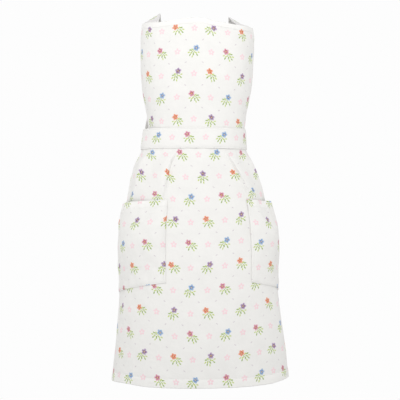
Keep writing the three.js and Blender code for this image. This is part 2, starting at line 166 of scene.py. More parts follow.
def curve(table, key, want, at):
    """The value of one column of a table at a place, on a smooth curve through its rows."""
    x, y = (np.array(table[column], float) for column in (key, want))
    slope = np.zeros_like(y)
    slope[1:-1] = (y[2:] - y[:-2]) / (x[2:] - x[:-2])
    slope[0], slope[-1] = (y[1] - y[0]) / (x[1] - x[0]), (y[-1] - y[-2]) / (x[-1] - x[-2])
    at = np.clip(at, x[0], x[-1])
    k = np.clip(np.searchsorted(x, at, side="right") - 1, 0, len(x) - 2)
    span = x[k + 1] - x[k]
    t = (at - x[k]) / span
    bend = span * (t * (1 - t) ** 2 * slope[k] + t * t * (t - 1) * slope[k + 1])
    return mix(y[k], y[k + 1], t * t * (3 - 2 * t)) + bend


print("half and a quarter of the way, eased", ease(np.array([0.5, 0.25])))

# %% [markdown]
# Cloth takes its shape from the body under it, so we begin with that rounded form and lift every sheet off it.
# The form is a point for each angle round the body and each height, and out_of gives the way off it there.

# %% Functions of the form
form_table = {"depth": [], "lean": [], "turned": [], "half": [], "front": [], "back": []}
for down, waisted, lean in zip(*bib_form.values()):
    row = [strap_rise + down * bib_height, lean, 0]
    row += [mix(chest[size], waist[size], waisted) for size in ("half", "front", "back")]
    for column, value in zip(form_table.values(), row):
        column.append(value)
for down, flared, deep, lean, turned in zip(*skirt_form.values()):
    row = [-waist_seam + down * skirt_length, lean, turned]
    row += [mix(skirt_top[size], hem[size], flared if size == "half" else deep) for size in ("half", "front", "back")]
    for column, value in zip(form_table.values(), row):
        column.append(value)


def form(want, z):
    return curve(form_table, "depth", want, -np.asarray(z, float))


def radius_at(z):
    return np.hypot(form("half", z), form("front", z)) / math.sqrt(2)


def on_form(angle, z):
    """Points on the form, at angles in degrees from the middle of the front."""
    s, c = np.sin(np.radians(angle)), np.cos(np.radians(angle))
    depth = np.where(c > 0, form("front", z), form("back", z))
    x = form("half", z) * s * (1 + squareness * c * c) - side_lean * form("lean", z)
    y = -depth * c * (1 + squareness * s * s)
    return np.stack(np.broadcast_arrays(x, y, z), -1)


def unit(vectors):
    return vectors / np.maximum(np.linalg.norm(vectors, axis=-1, keepdims=True), 1e-12)


def out_of(surface, a, b, step=0.05):
    """Directions out of a surface that is given as points = surface(across, up)."""
    across = surface(a + step, b) - surface(a - step, b)
    up = surface(a, b + step) - surface(a, b - step)
    return unit(np.cross(across, up))


def lifted(surface, a, b, by):
    return surface(a, b) + out_of(surface, a, b) * np.broadcast_to(by, np.broadcast(a, b).shape)[..., None]


print("chest", form("half", bib_top - 40) * 2, "mm wide")

# %% [markdown]
# No cloth is perfectly smooth, so a small sum of waves in random directions gives it soft unevenness.
# The random numbers have a fixed seed, and the apron comes out the same each time.

# %% Unevenness of cloth
def uneven(x, y, size, seed, waves=9):
    """Soft bumps about size mm long, between about -1 and 1."""
    dice = np.random.default_rng(seed)
    total = 0
    for _ in range(waves):
        turn, phase = dice.uniform(0, 2 * math.pi, 2)
        length = size * dice.uniform(0.7, 1.5)
        total = total + np.sin((x * math.cos(turn) + y * math.sin(turn)) * 2 * math.pi / length + phase)
    return total / math.sqrt(waves)


def near(distance, width):
    """1 on a line and 0 away from it, for a groove, ridge or pucker of that half width."""
    return np.exp(-((distance / width) ** 2))


print("sample of unevenness", round(float(uneven(10.0, 20.0, 45, 1)), 3))

# %% [markdown]
# A sheet of cloth is a grid of points on its middle surface. From each we step half a wall outwards and half
# inwards, and close the edge with a small rounded rim, so the mesh is a thin solid with an outside and an inside.
# The UV map is laid out in metres of cloth, so a print keeps its real size wherever the cloth goes.

# %% A sheet of cloth
class Sheet:
    """The arrays of a sheet, kept so that seams can be laid on it afterwards."""

    def __init__(self, u, v, place, wall):
        self.u, self.v = np.asarray(u, float), np.asarray(v, float)
        uu, vv = np.meshgrid(self.u, self.v, indexing="ij")
        self.middle = place(uu, vv)
        du = np.gradient(self.middle, self.u, axis=0)
        dv = np.gradient(self.middle, self.v, axis=1)
        self.out = unit(np.cross(du, -dv))
        self.wall = np.broadcast_to(wall(uu, vv), uu.shape)

    def outer(self, lift=0.0):
        return self.middle + self.out * (self.wall / 2 + lift)[..., None]

    def inner(self, lift=0.0):
        return self.middle - self.out * (self.wall / 2 + lift)[..., None]

    def cloth_lengths(self):
        """Lengths of cloth in mm across from the middle column and down from the top row."""
        across = np.linalg.norm(np.diff(self.middle, axis=0), axis=-1)
        down = np.linalg.norm(np.diff(self.middle, axis=1), axis=-1)
        x = np.concatenate([np.zeros((1, len(self.v))), np.cumsum(across, axis=0)])
        middle = np.interp(0.5, self.u, np.arange(len(self.u)))
        low, part = int(middle), middle - int(middle)
        x = x - (x[low] * (1 - part) + x[min(low + 1, len(self.u) - 1)] * part)
        y = np.concatenate([np.zeros((len(self.u), 1)), np.cumsum(down, axis=1)], axis=1)
        return x, y

    def line(self, u, v, lift=0.2, inside=False):
        """Points on the outside, or the inside, along places that are given as shares across and down."""
        grid = self.inner(lift) if inside else self.outer(lift)
        i = np.clip(np.interp(u, self.u, np.arange(len(self.u))), 0, len(self.u) - 1.001)
        j = np.clip(np.interp(v, self.v, np.arange(len(self.v))), 0, len(self.v) - 1.001)
        i0, j0 = i.astype(int), j.astype(int)
        s, t = (i - i0)[:, None], (j - j0)[:, None]
        top = mix(grid[i0, j0], grid[i0 + 1, j0], s)
        foot = mix(grid[i0, j0 + 1], grid[i0 + 1, j0 + 1], s)
        return mix(top, foot, t)


print("a sheet knows its", [name for name in vars(Sheet) if not name.startswith("_")])

# %% [markdown]
# From those grids we make faces: the outside, the inside and narrow ones round the edge.
# The inside shows the wrong side of the cloth, except where a turned hem shows the right side again.

# %% Helper that makes a sheet
def sheet_object(name, cloth, materials, turned=None, phase=(0, 0), upright=False):
    """Makes the mesh of a sheet. turned is where the inside shows a turned hem, and phase shifts the print."""
    n, m = cloth.middle.shape[:2]
    x, y = cloth.cloth_lengths()
    if upright:
        # A strip that turns keeps its print straight when all of it is measured along its middle.
        x, y = np.broadcast_to(y[n // 2], y.shape), x
    outer = np.arange(n * m).reshape(n, m)
    inner = outer + n * m
    edge = np.concatenate([outer[:, 0], outer[-1, 1:], outer[-2::-1, -1], outer[0, -2:0:-1]])
    rim = np.arange(len(edge)) + 2 * n * m
    ij = np.stack([edge // m, edge % m], 1)
    back_in = np.clip(ij, 1, [n - 2, m - 2])
    away = unit(cloth.middle[ij[:, 0], ij[:, 1]] - cloth.middle[back_in[:, 0], back_in[:, 1]])
    rounding = (cloth.wall[ij[:, 0], ij[:, 1]] * 0.42)[:, None]
    rim_points = cloth.middle[ij[:, 0], ij[:, 1]] + away * rounding
    points = np.concatenate([cloth.outer().reshape(-1, 3), cloth.inner().reshape(-1, 3), rim_points])

    a, b, c, d = outer[:-1, :-1], outer[:-1, 1:], outer[1:, 1:], outer[1:, :-1]
    front = np.stack([a, b, c, d], -1).reshape(-1, 4)
    behind = np.stack([a, d, c, b], -1).reshape(-1, 4) + n * m
    next_edge, next_rim = np.roll(edge, -1), np.roll(rim, -1)
    round_front = np.stack([edge, next_edge, next_rim, rim], 1)
    round_back = np.stack([rim, next_rim, next_edge + n * m, edge + n * m], 1)
    faces = np.concatenate([front, behind, round_front, round_back])

    mesh = bpy.data.meshes.new(name)
    mesh.from_pydata((points / 1000).tolist(), [], faces.tolist())
    flat = np.stack([x + phase[0], -y + phase[1]], -1).reshape(-1, 2) / 1000
    flat = np.concatenate([flat, flat, flat[edge]])
    layer = mesh.uv_layers.new(name="cloth")
    layer.data.foreach_set("uv", flat[faces.reshape(-1)].astype(np.float32).ravel())
    thick = (cloth.wall.reshape(-1) - cloth.wall.min()) / max(np.ptp(cloth.wall), 1e-6)
    layers = mesh.attributes.new("layers", "FLOAT", "POINT")
    layers.data.foreach_set("value", np.concatenate([thick, thick, thick[edge]]).astype(np.float32))
    shows_print = np.ones(len(faces), int)
    if len(materials) > 1:
        hidden = np.ones(len(behind), int) if turned is None else np.where(turned.reshape(-1), 0, 1)
        shows_print[:] = 0
        shows_print[len(front):len(front) + len(behind)] = hidden
        mesh.polygons.foreach_set("material_index", shows_print.astype(np.int32))
    mesh.polygons.foreach_set("use_smooth", np.ones(len(faces), bool))
    for material in materials:
        mesh.materials.append(material)
    mesh.update()
    made = bpy.data.objects.new(name, mesh)
    bpy.context.scene.collection.objects.link(made)
    areas = np.empty(len(mesh.polygons), np.float32)
    mesh.polygons.foreach_get("area", areas)
    wide, long, area = round(np.ptp(x)), round(np.ptp(y)), round(float(areas.sum()) / 2 * 1e4)
    print(name, len(faces) * 2, "triangles, cloth", wide, "by", long, "mm,", area, "cm2")
    return made


def spaced(start, end, step, extra=()):
    """Places from start to end about a step apart, with extra ones put in."""
    count = max(2, int(round((end - start) / step)) + 1)
    return np.unique(np.round(np.concatenate([np.linspace(start, end, count), extra]), 7))


def turned_faces(wall, u, v, double_from=1.6):
    """Which faces of a sheet lie in its turned hem, where the cloth is double and so thicker than that in mm."""
    middles = ((places[1:] + places[:-1]) / 2 for places in (u, v))
    return wall(*np.meshgrid(*middles, indexing="ij")) > double_from


print("places a quarter apart", spaced(0, 1, 0.25).tolist())

# %% [markdown]
# A shader is a net of nodes. This one small helper adds a node, gives it its settings and fills its inputs,
# either with plain values or with what another node puts out.

# %% Helpers for materials
def add(tree, kind, settings=None, inputs=None):
    node = tree.nodes.new(kind)
    for name, value in (settings or {}).items():
        setattr(node, name, value)
    for name, value in (inputs or {}).items():
        if isinstance(value, bpy.types.Node):
            value = value.outputs[0]
        if isinstance(value, bpy.types.NodeSocket):
            tree.links.new(value, node.inputs[name])
        else:
            node.inputs[name].default_value = value
    return node


def paint(code):
    """A colour that is written as sRGB hex, in the linear values that shaders take."""
    parts = [int(code[i:i + 2], 16) / 255 for i in (1, 3, 5)]
    return (*[p / 12.92 if p <= 0.04045 else ((p + 0.055) / 1.055) ** 2.4 for p in parts], 1.0)


print("white cotton, linear", [round(p, 3) for p in paint("#EEEDEA")])

# %% [markdown]
# The cotton is printed with small sprigs in a half-drop layout, a common way to scatter flowers on dress cotton.
# Each cell of the layout holds one sprig: a blossom of five petals over a few leaves.
# Alternate rows are shifted by half a cell, pale blossoms lie between the sprigs and specks between the rows.
# Each petal and leaf is a stretched circle, placed by a Mapping node and cut out by how far it reaches.

# %% Sizes and colours of the print
sprig_across = 58.0
sprig_down = 38.5
petal_count = 5
blossom_radius = 5.7
blossom_place = (3.0, 5.0, 0)
leaf_spread = 1.12
sprig_colours = [("#CC4A2C", "#EE9A6A"), ("#6C4074", "#B598C0"), ("#AE4068", "#DE97AB"), ("#4B7AB4", "#98B8DC")]
leaf_dark, leaf_light, pale_petal, eye, speck = "#8DAC50", "#BDCF66", "#F5D3DA", "#DDB255", "#CFC7CC"
# Leaves of a sprig: middle of each in mm from the cell's middle, its turn, length, width, and dark or light.
leaves = [
    (-2.6, 1.4, 140, 5.2, 2.5, 1),
    (-5.8, 0.6, 175, 5.4, 2.4, 0),
    (-8.2, -2.8, 215, 4.8, 2.3, 1),
    (-4.4, -3.2, 245, 5.0, 2.4, 1),
    (-6.2, -6.6, 235, 4.6, 2.2, 0),
    (-1.2, -4.8, 285, 5.2, 2.4, 0),
    (-2.6, -8.6, 255, 4.6, 2.1, 1),
    (2.4, -2.8, 330, 5.2, 2.4, 1),
    (4.6, -6.0, 300, 4.8, 2.2, 0),
    (6.4, -2.0, 350, 4.2, 2.1, 1),
    (0.6, -0.6, 66, 9.0, 0.9, 0),
    (-3.6, -2.0, 212, 8.0, 0.8, 0),
]
print("leaves and stalks of a sprig", len(leaves))

# %% [markdown]
# The nodes first work out which cell of the layout a point of the cloth is in, and where in that cell it lies.
# One random number for each cell turns its sprig a little, so no two look quite the same.
# Leaves, petals, pale blossoms and specks are masks, and each is painted over the one before.

# %% The sprig print
def sprig_print(tree, ground):
    """Adds the print on its ground colour, and returns its colour."""
    uv = add(tree, "ShaderNodeUVMap", {"uv_map": "cloth"})
    mm = add(tree, "ShaderNodeVectorMath", {"operation": "SCALE"}, {0: uv, "Scale": 1000.0})
    shiver = add(tree, "ShaderNodeTexNoise", {"noise_dimensions": "2D"}, {"Vector": mm, "Scale": 0.9, "Detail": 1.0})
    inputs = {0: shiver.outputs["Color"], 1: (0.5, 0.5, 0.5)}
    shiver = add(tree, "ShaderNodeVectorMath", {"operation": "SUBTRACT"}, inputs)
    mm = add(tree, "ShaderNodeVectorMath", {"operation": "MULTIPLY_ADD"}, {0: shiver, 1: (0.9, 0.9, 0), 2: mm})
    xy = add(tree, "ShaderNodeSeparateXYZ", None, {0: mm})
    row = add(tree, "ShaderNodeMath", {"operation": "DIVIDE"}, {0: xy.outputs[1], 1: sprig_down})
    row = add(tree, "ShaderNodeMath", {"operation": "FLOOR"}, {0: row})
    odd = add(tree, "ShaderNodeMath", {"operation": "WRAP"}, {0: row, 1: 2.0, 2: 0.0})
    inputs = {0: odd, 1: -sprig_across / 2, 2: xy.outputs[0]}
    across = add(tree, "ShaderNodeMath", {"operation": "MULTIPLY_ADD"}, inputs)
    column = add(tree, "ShaderNodeMath", {"operation": "DIVIDE"}, {0: across, 1: sprig_across})
    column = add(tree, "ShaderNodeMath", {"operation": "FLOOR"}, {0: column})
    # Place inside the cell, in mm from its middle.
    x = add(tree, "ShaderNodeMath", {"operation": "MULTIPLY_ADD"}, {0: column, 1: -sprig_across, 2: across})
    x = add(tree, "ShaderNodeMath", {"operation": "SUBTRACT"}, {0: x, 1: sprig_across / 2})
    y = add(tree, "ShaderNodeMath", {"operation": "MULTIPLY_ADD"}, {0: row, 1: -sprig_down, 2: xy.outputs[1]})
    y = add(tree, "ShaderNodeMath", {"operation": "SUBTRACT"}, {0: y, 1: sprig_down / 2})
    # Rows in turn carry two kinds of sprig each, and the kinds swap places every second row.
    pair = add(tree, "ShaderNodeMath", {"operation": "MULTIPLY"}, {0: row, 1: 0.5})
    pair = add(tree, "ShaderNodeMath", {"operation": "FLOOR"}, {0: pair})
    member = add(tree, "ShaderNodeMath", {"operation": "ADD"}, {0: column, 1: pair})
    member = add(tree, "ShaderNodeMath", {"operation": "WRAP"}, {0: member, 1: 2.0, 2: 0.0})
    kind = add(tree, "ShaderNodeMath", {"operation": "MULTIPLY_ADD"}, {0: odd, 1: 2.0, 2: member})
    kind = add(tree, "ShaderNodeMath", {"operation": "MULTIPLY_ADD"}, {0: kind, 1: 0.25, 2: 0.125})
    facing = add(tree, "ShaderNodeMath", {"operation": "MULTIPLY_ADD"}, {0: member, 1: 2.0, 2: -1.0})
    mirrored = add(tree, "ShaderNodeMath", {"operation": "MULTIPLY"}, {0: x, 1: facing})
    cell = add(tree, "ShaderNodeCombineXYZ", None, {0: column, 1: row})
    dice = add(tree, "ShaderNodeTexWhiteNoise", {"noise_dimensions": "2D"}, {"Vector": cell})
    turn = add(tree, "ShaderNodeMapRange", None, {0: dice.outputs["Value"], 3: -0.3, 4: 0.3})
    here = add(tree, "ShaderNodeCombineXYZ", None, {0: mirrored, 1: y})
    here = add(tree, "ShaderNodeVectorRotate", {"rotation_type": "Z_AXIS"}, {"Vector": here, "Angle": turn})
    greens = {0: None, 1: None}
    for place_x, place_y, angle, length, width, shade in leaves:
        settings = {"Vector": here, "Rotation": (0, 0, math.radians(angle))}
        settings["Location"] = (place_x * leaf_spread, place_y * leaf_spread, 0)
        settings["Scale"] = (length / 2, width / 2, 1)
        leaf = add(tree, "ShaderNodeMapping", {"vector_type": "TEXTURE"}, settings)
        leaf = add(tree, "ShaderNodeVectorMath", {"operation": "LENGTH"}, {0: leaf})
        leaf = add(tree, "ShaderNodeMapRange", None, {0: leaf.outputs["Value"], 1: 1.12, 2: 0.82})
        if greens[shade] is not None:
            leaf = add(tree, "ShaderNodeMath", {"operation": "MAXIMUM"}, {0: leaf, 1: greens[shade]})
        greens[shade] = leaf
    # The blossom: petals from the angle around its middle, dark inside and light at the tips.
    blossom = add(tree, "ShaderNodeVectorMath", {"operation": "SUBTRACT"}, {0: here, 1: blossom_place})
    parts = add(tree, "ShaderNodeSeparateXYZ", None, {0: blossom})
    around = add(tree, "ShaderNodeMath", {"operation": "ARCTAN2"}, {0: parts.outputs[1], 1: parts.outputs[0]})
    around = add(tree, "ShaderNodeMath", {"operation": "MULTIPLY"}, {0: around, 1: petal_count / 2})
    around = add(tree, "ShaderNodeMath", {"operation": "COSINE"}, {0: around})
    around = add(tree, "ShaderNodeMath", {"operation": "ABSOLUTE"}, {0: around})
    around = add(tree, "ShaderNodeMath", {"operation": "POWER"}, {0: around, 1: 0.6})
    petal = add(tree, "ShaderNodeMath", {"operation": "MULTIPLY_ADD"}, {0: around, 1: 0.52, 2: 0.46})
    reach = add(tree, "ShaderNodeVectorMath", {"operation": "LENGTH"}, {0: blossom}).outputs["Value"]
    reach = add(tree, "ShaderNodeMath", {"operation": "DIVIDE"}, {0: reach, 1: blossom_radius})
    open_to = add(tree, "ShaderNodeMath", {"operation": "DIVIDE"}, {0: reach, 1: petal})
    petals = add(tree, "ShaderNodeMapRange", None, {0: open_to, 1: 1.08, 2: 0.9})
    tip = add(tree, "ShaderNodeMapRange", None, {0: reach, 1: 0.32, 2: 0.8})
    middle = add(tree, "ShaderNodeMapRange", None, {0: reach, 1: 0.24, 2: 0.15})
    inks = []
    for tone in (0, 1):
        ramp = add(tree, "ShaderNodeValToRGB", None, {0: kind})
        ramp.color_ramp.interpolation = "CONSTANT"
        for k, tones in enumerate(sprig_colours):
            stop = ramp.color_ramp.elements[k] if k < 2 else ramp.color_ramp.elements.new(k * 0.25)
            stop.position = k * 0.25
            stop.color = paint(tones[tone])
        inks.append(ramp)
    petal_ink = add(tree, "ShaderNodeMix", {"data_type": "RGBA"}, {0: tip, 6: inks[0], 7: inks[1]})
    # Pale blossoms sit on the borders between the cells of a row, and specks on those between rows.
    beside = add(tree, "ShaderNodeMath", {"operation": "ABSOLUTE"}, {0: x})
    beside = add(tree, "ShaderNodeMath", {"operation": "SUBTRACT"}, {0: beside, 1: sprig_across / 2})
    pale = add(tree, "ShaderNodeCombineXYZ", None, {0: beside, 1: y})
    parts = add(tree, "ShaderNodeSeparateXYZ", None, {0: pale})
    around = add(tree, "ShaderNodeMath", {"operation": "ARCTAN2"}, {0: parts.outputs[0], 1: parts.outputs[1]})
    around = add(tree, "ShaderNodeMath", {"operation": "MULTIPLY"}, {0: around, 1: petal_count / 2})
    around = add(tree, "ShaderNodeMath", {"operation": "COSINE"}, {0: around})
    around = add(tree, "ShaderNodeMath", {"operation": "ABSOLUTE"}, {0: around})
    petal = add(tree, "ShaderNodeMath", {"operation": "MULTIPLY_ADD"}, {0: around, 1: 3.0, 2: 2.6})
    reach = add(tree, "ShaderNodeVectorMath", {"operation": "LENGTH"}, {0: pale}).outputs["Value"]
    open_to = add(tree, "ShaderNodeMath", {"operation": "DIVIDE"}, {0: reach, 1: petal})
    pale = add(tree, "ShaderNodeMapRange", None, {0: open_to, 1: 1.1, 2: 0.85})
    hole = add(tree, "ShaderNodeMapRange", None, {0: reach, 1: 1.0, 2: 2.0})
    pale = add(tree, "ShaderNodeMath", {"operation": "MULTIPLY"}, {0: pale, 1: hole})
    off_x = add(tree, "ShaderNodeMath", {"operation": "ABSOLUTE"}, {0: x})
    off_y = add(tree, "ShaderNodeMath", {"operation": "ABSOLUTE"}, {0: y})
    specks = add(tree, "ShaderNodeCombineXYZ", None, {0: off_x, 1: off_y})
    settings = {"Vector": specks, "Location": (sprig_across / 4, sprig_down / 2, 0), "Rotation": (0, 0, 0.6)}
    settings["Scale"] = (2.0, 0.9, 1)
    specks = add(tree, "ShaderNodeMapping", {"vector_type": "TEXTURE"}, settings)
    specks = add(tree, "ShaderNodeVectorMath", {"operation": "LENGTH"}, {0: specks}).outputs["Value"]
    specks = add(tree, "ShaderNodeMapRange", None, {0: specks, 1: 1.15, 2: 0.8, 4: 0.8})
    colour = ground
    marks = [(specks, paint(speck)), (pale, paint(pale_petal)), (greens[1], paint(leaf_light))]
    marks += [(greens[0], paint(leaf_dark)), (petals, petal_ink.outputs[2]), (middle, paint(eye))]
    for mask, ink in marks:
        colour = add(tree, "ShaderNodeMix", {"data_type": "RGBA"}, {0: mask, 6: colour, 7: ink}).outputs[2]
    # The ink takes unevenly, in patches about a millimetre wide, and lets the cloth show through.
    inputs = {"Vector": mm, "Scale": 0.75, "Detail": 2.0}
    patches = add(tree, "ShaderNodeTexNoise", {"noise_dimensions": "2D"}, inputs)
    cover = add(tree, "ShaderNodeMapRange", None, {0: patches.outputs["Fac"], 1: 0.36, 2: 0.54, 3: 0.55, 4: 1.0})
    colour = add(tree, "ShaderNodeMix", {"data_type": "RGBA"}, {0: cover, 6: ground, 7: colour}).outputs[2]
    return mm, colour


print("print repeats every", sprig_across * 2, "by", sprig_down * 4, "mm")

# %% [markdown]
# The cloth is a plain-woven cotton of middling weight, washed and pressed: matt, with a faint soft sheen.
# Its threads are about 0.3 mm apart, too fine to show here, so the weave is drawn three times as coarse.
# The wrong side shows the print only faintly, as the ink soaks through. Where cloth lies double it is whiter.
# Straps and ties get a greyer ground of the same print, which is painted shade.

# %% Cotton materials
weave_gap = 0.9


def cotton(name, ground_single, ground_double, print_strength):
    material = bpy.data.materials.new(name)
    material.use_nodes = True
    tree = material.node_tree
    shader = tree.nodes["Principled BSDF"]
    layers = add(tree, "ShaderNodeAttribute", {"attribute_name": "layers"}).outputs["Fac"]
    inputs = {0: layers, 6: paint(ground_single), 7: paint(ground_double)}
    ground = add(tree, "ShaderNodeMix", {"data_type": "RGBA"}, inputs).outputs[2]
    mm, printed = sprig_print(tree, ground)
    colour = add(tree, "ShaderNodeMix", {"data_type": "RGBA"}, {0: print_strength, 6: ground, 7: printed}).outputs[2]
    # Uneven whiteness of washed cotton, a few centimetres across.
    cloud = add(tree, "ShaderNodeTexNoise", {"noise_dimensions": "2D"}, {"Vector": mm, "Scale": 0.03, "Detail": 3.0})
    shade = add(tree, "ShaderNodeMapRange", None, {0: cloud.outputs["Fac"], 1: 0.3, 2: 0.7, 3: 0.975, 4: 1.0})
    colour = add(tree, "ShaderNodeVectorMath", {"operation": "SCALE"}, {0: colour, "Scale": shade})
    tree.links.new(colour.outputs[0], shader.inputs["Base Color"])
    # Plain weave: threads over and under, weave_gap in mm apart.
    xy = add(tree, "ShaderNodeSeparateXYZ", None, {0: mm})
    threads = []
    for k in (0, 1):
        wave = add(tree, "ShaderNodeMath", {"operation": "MULTIPLY"}, {0: xy.outputs[k], 1: 2 * math.pi / weave_gap})
        threads.append(add(tree, "ShaderNodeMath", {"operation": "SINE"}, {0: wave}))
    weave = add(tree, "ShaderNodeMath", {"operation": "MULTIPLY"}, {0: threads[0], 1: threads[1]})
    slub = add(tree, "ShaderNodeTexNoise", {"noise_dimensions": "2D"}, {"Vector": mm, "Scale": 0.12, "Detail": 4.0})
    bump = add(tree, "ShaderNodeBump", None, {"Height": slub.outputs["Fac"], "Strength": 0.5, "Distance": 0.0012})
    inputs = {"Height": weave, "Normal": bump, "Strength": 0.4, "Distance": 0.00006}
    bump = add(tree, "ShaderNodeBump", None, inputs)
    tree.links.new(bump.outputs[0], shader.inputs["Normal"])
    rough = add(tree, "ShaderNodeMapRange", None, {0: slub.outputs["Fac"], 3: 0.8, 4: 0.92})
    tree.links.new(rough.outputs[0], shader.inputs["Roughness"])
    shader.inputs["Specular IOR Level"].default_value = 0.25
    shader.inputs["Sheen Weight"].default_value = 0.12
    shader.inputs["Sheen Roughness"].default_value = 0.5
    return material


printed_cotton = cotton("Printed cotton", "#EEEDEA", "#F2F1EE", 1.0)
cotton_wrong_side = cotton("Printed cotton, wrong side", "#E6E7E4", "#EAEBE8", 0.22)
# The greyer ground of straps, ties, tails and knot is painted shade.
strap_cotton = cotton("Printed cotton of straps and ties, greyed as painted shade", "#E1DFDE", "#E1DFDE", 1.0)
sewn = [printed_cotton, cotton_wrong_side]
print("nodes in the print", len(printed_cotton.node_tree.nodes))

# %% [markdown]
# The seams are sewn with cotton thread. Its two plies are twisted together, a turn every 1.2 mm, which shows
# as fine slanting lines. A wave texture of scale 1 has a band every 0.314 m, and that sets its scale here.

# %% Sewing thread
thread_turn = 0.0012
band_at_scale_one = 0.314

sewing_thread = bpy.data.materials.new("Cotton sewing thread")
sewing_thread.use_nodes = True
thread_tree = sewing_thread.node_tree
thread_shader = thread_tree.nodes["Principled BSDF"]
place = add(thread_tree, "ShaderNodeTexCoord").outputs["Object"]
inputs = {"Vector": place, "Scale": band_at_scale_one / thread_turn, "Distortion": 1.0}
twist = add(thread_tree, "ShaderNodeTexWave", {"wave_type": "BANDS", "bands_direction": "DIAGONAL"}, inputs)
inputs = {0: twist.outputs["Fac"], 6: paint("#E2E3E0"), 7: paint("#F6F6F4")}
plies = add(thread_tree, "ShaderNodeMix", {"data_type": "RGBA"}, inputs)
thread_tree.links.new(plies.outputs[2], thread_shader.inputs["Base Color"])
inputs = {"Height": twist.outputs["Fac"], "Strength": 0.5, "Distance": 0.0001}
bump = add(thread_tree, "ShaderNodeBump", None, inputs)
thread_tree.links.new(bump.outputs[0], thread_shader.inputs["Normal"])
thread_shader.inputs["Roughness"].default_value = 0.6
thread_shader.inputs["Sheen Weight"].default_value = 0.1
print("thread turns every", thread_turn * 1000, "mm")

# %% [markdown]
# The bib is one wide panel. Its top edge is turned and stitched, and so are its sides down to the waist.
# A line of stitches pulls the cloth in a little and makes it pucker, which we add to the sheet's own shape.

# %% The bib
foot_half = math.degrees(strap_width * strap_foot_flare / 2 / radius_at(bib_top))
bib_corner = strap_foot_angle + foot_half + bib_margin
strap_end_width = strap_width / math.sin(math.radians(strap_end_slant))
strap_end_half = math.degrees(strap_end_width / 2 / radius_at(waistband_top))
strap_end_angle = waistband_wrap - strap_end_half - bib_margin
bib_waist_wrap = strap_end_angle - strap_end_half - bib_margin * 2
bib_length = bib_height + seam_allowance
bib_half_width = math.radians(bib_waist_wrap) * radius_at(bib_top - bib_height / 2)


def bib_wall(u, v):
    from_side = (1 - np.abs(2 * u - 1)) * bib_half_width
    turned = np.maximum(ease((bib_hem + 0.5 - v * bib_length) / 1.0), ease((side_hem + 0.5 - from_side) / 1.0))
    return mix(cloth_wall, hem_wall, turned)


def bib_top_at(angle):
    return bib_top - bib_crown * curve(bib_edge, "side", "drop", angle / bib_corner)


def bib_flat(u, v):
    side = 2 * u - 1
    share = v * (bib_length / bib_height)
    wrap = mix(bib_corner, bib_waist_wrap, curve(bib_side, "down", "reach", share))
    low = bib_top - bib_length
    return side * wrap, mix(bib_top_at(side * bib_corner), low, v)


def bib_place(u, v):
    across, down = (2 * u - 1) * bib_half_width, v * bib_length
    from_side = (1 - np.abs(2 * u - 1)) * bib_half_width
    lift = 0.45 * uneven(across, down * 0.6, 70, 3) + 0.16 * uneven(across, down, 22, 4)
    for stitched, along in ((down - bib_hem, across), (from_side - side_hem, down)):
        lift = lift - 0.3 * near(stitched, 1.3)
        lift = lift + 0.16 * near(stitched, 5) * uneven(along, stitched * 0, 11, 5)
    # The waist seam draws the cloth together in small soft gathers.
    lift = lift + 0.45 * ease((v - 0.86) / 0.1) * uneven(across, down * 0.12, 15, 6)
    # It lies flat where the waistband and the skirt hold it.
    lift = lift * ease((bib_length - 6 - down) / 10)
    # A hem is turned inwards, so the step to its double cloth is on the inside and the outside stays flat.
    lift = lift - (bib_wall(u, v) - cloth_wall) / 2
    return lifted(on_form, *bib_flat(u, v), lift)


hem_share = side_hem / bib_half_width / 2
bib_u = spaced(0, 1, 2.2 / (2 * bib_half_width), [hem_share * k for k in (0.1, 0.93, 1, 1.07)])
bib_u = np.unique(np.round(np.concatenate([bib_u, 1 - bib_u]), 6))
bib_v = spaced(0, 1, 2.2 / bib_length, [bib_hem / bib_length * k for k in (0.08, 0.93, 1, 1.07)])
bib = Sheet(bib_u, bib_v, bib_place, bib_wall)
turned = turned_faces(bib_wall, bib_u, bib_v)
bib_object = sheet_object("bib_cloth", bib, sewn, turned, phase=(62.8, 36.5))

# %% [markdown]
# The waistband is a double strip that covers the seam between bib and skirt.
# It stands a little proud in its middle, because its two long edges are stitched down.

# %% The waistband
waistband_stand = hem_wall / 2 + layer_gap + waistband_wall / 2
band_stitch_in = 2.2
mm_per_degree = 1.4


def gape_at(angle, z):
    """How far the apron stands off the form at the left of the waist."""
    left = np.where(angle > 180, 360 - angle, -angle)
    around = ease((left - 25) / 60) * ease((165 - left) / 60)
    return left_gape * around * ease((z - (waist_seam - pocket_drop)) / (pocket_drop * 1.2))


def on_waist(angle, z):
    flat = out_of(on_form, angle, z)
    flat = unit(flat * np.array([1.0, 1.0, 0.0]))
    return on_form(angle, z) + flat * np.broadcast_to(gape_at(angle, z), np.broadcast(angle, z).shape)[..., None]


def waistband_place(u, v):
    angle = mix(-waistband_wrap, waistband_wrap, u)
    z = mix(waistband_top, waist_seam, v)
    along = angle * mm_per_degree
    edge = np.minimum(v, 1 - v) * waistband_height
    puff = 0.5 * ease(edge / 7) - 0.25 * near(edge - band_stitch_in, 1.1)
    # Both long edges are pulled down on the panels under them.
    puff = puff - 0.55 * near(edge, 3.5) * ease((100 - np.abs(angle)) / 10)
    pucker = near(edge - band_stitch_in, 4) * uneven(along, v * 9, 9, 12)
    puff = puff + 0.22 * uneven(along, v * 20, 30, 11) + 0.14 * pucker
    return lifted(on_waist, angle, z, waistband_stand + puff)


waistband_length = 2 * math.radians(waistband_wrap) * radius_at(waistband_top)
waistband_u = spaced(0, 1, 2.0 / waistband_length)
waistband_v = spaced(0, 1, 1.6 / waistband_height, [0.02, 0.06, 0.94, 0.98])
waistband = Sheet(waistband_u, waistband_v, waistband_place, lambda u, v: waistband_wall + 0 * u)
waistband_object = sheet_object("waistband_cloth", waistband, [printed_cotton], phase=(12, -2.5))

# %% [markdown]
# The skirt is an A-line panel, let into the waistband with two knife pleats and a few soft folds.
# Its grid follows the pleats: the columns crowd together at each pleat's edge and lean as the pleat leans.

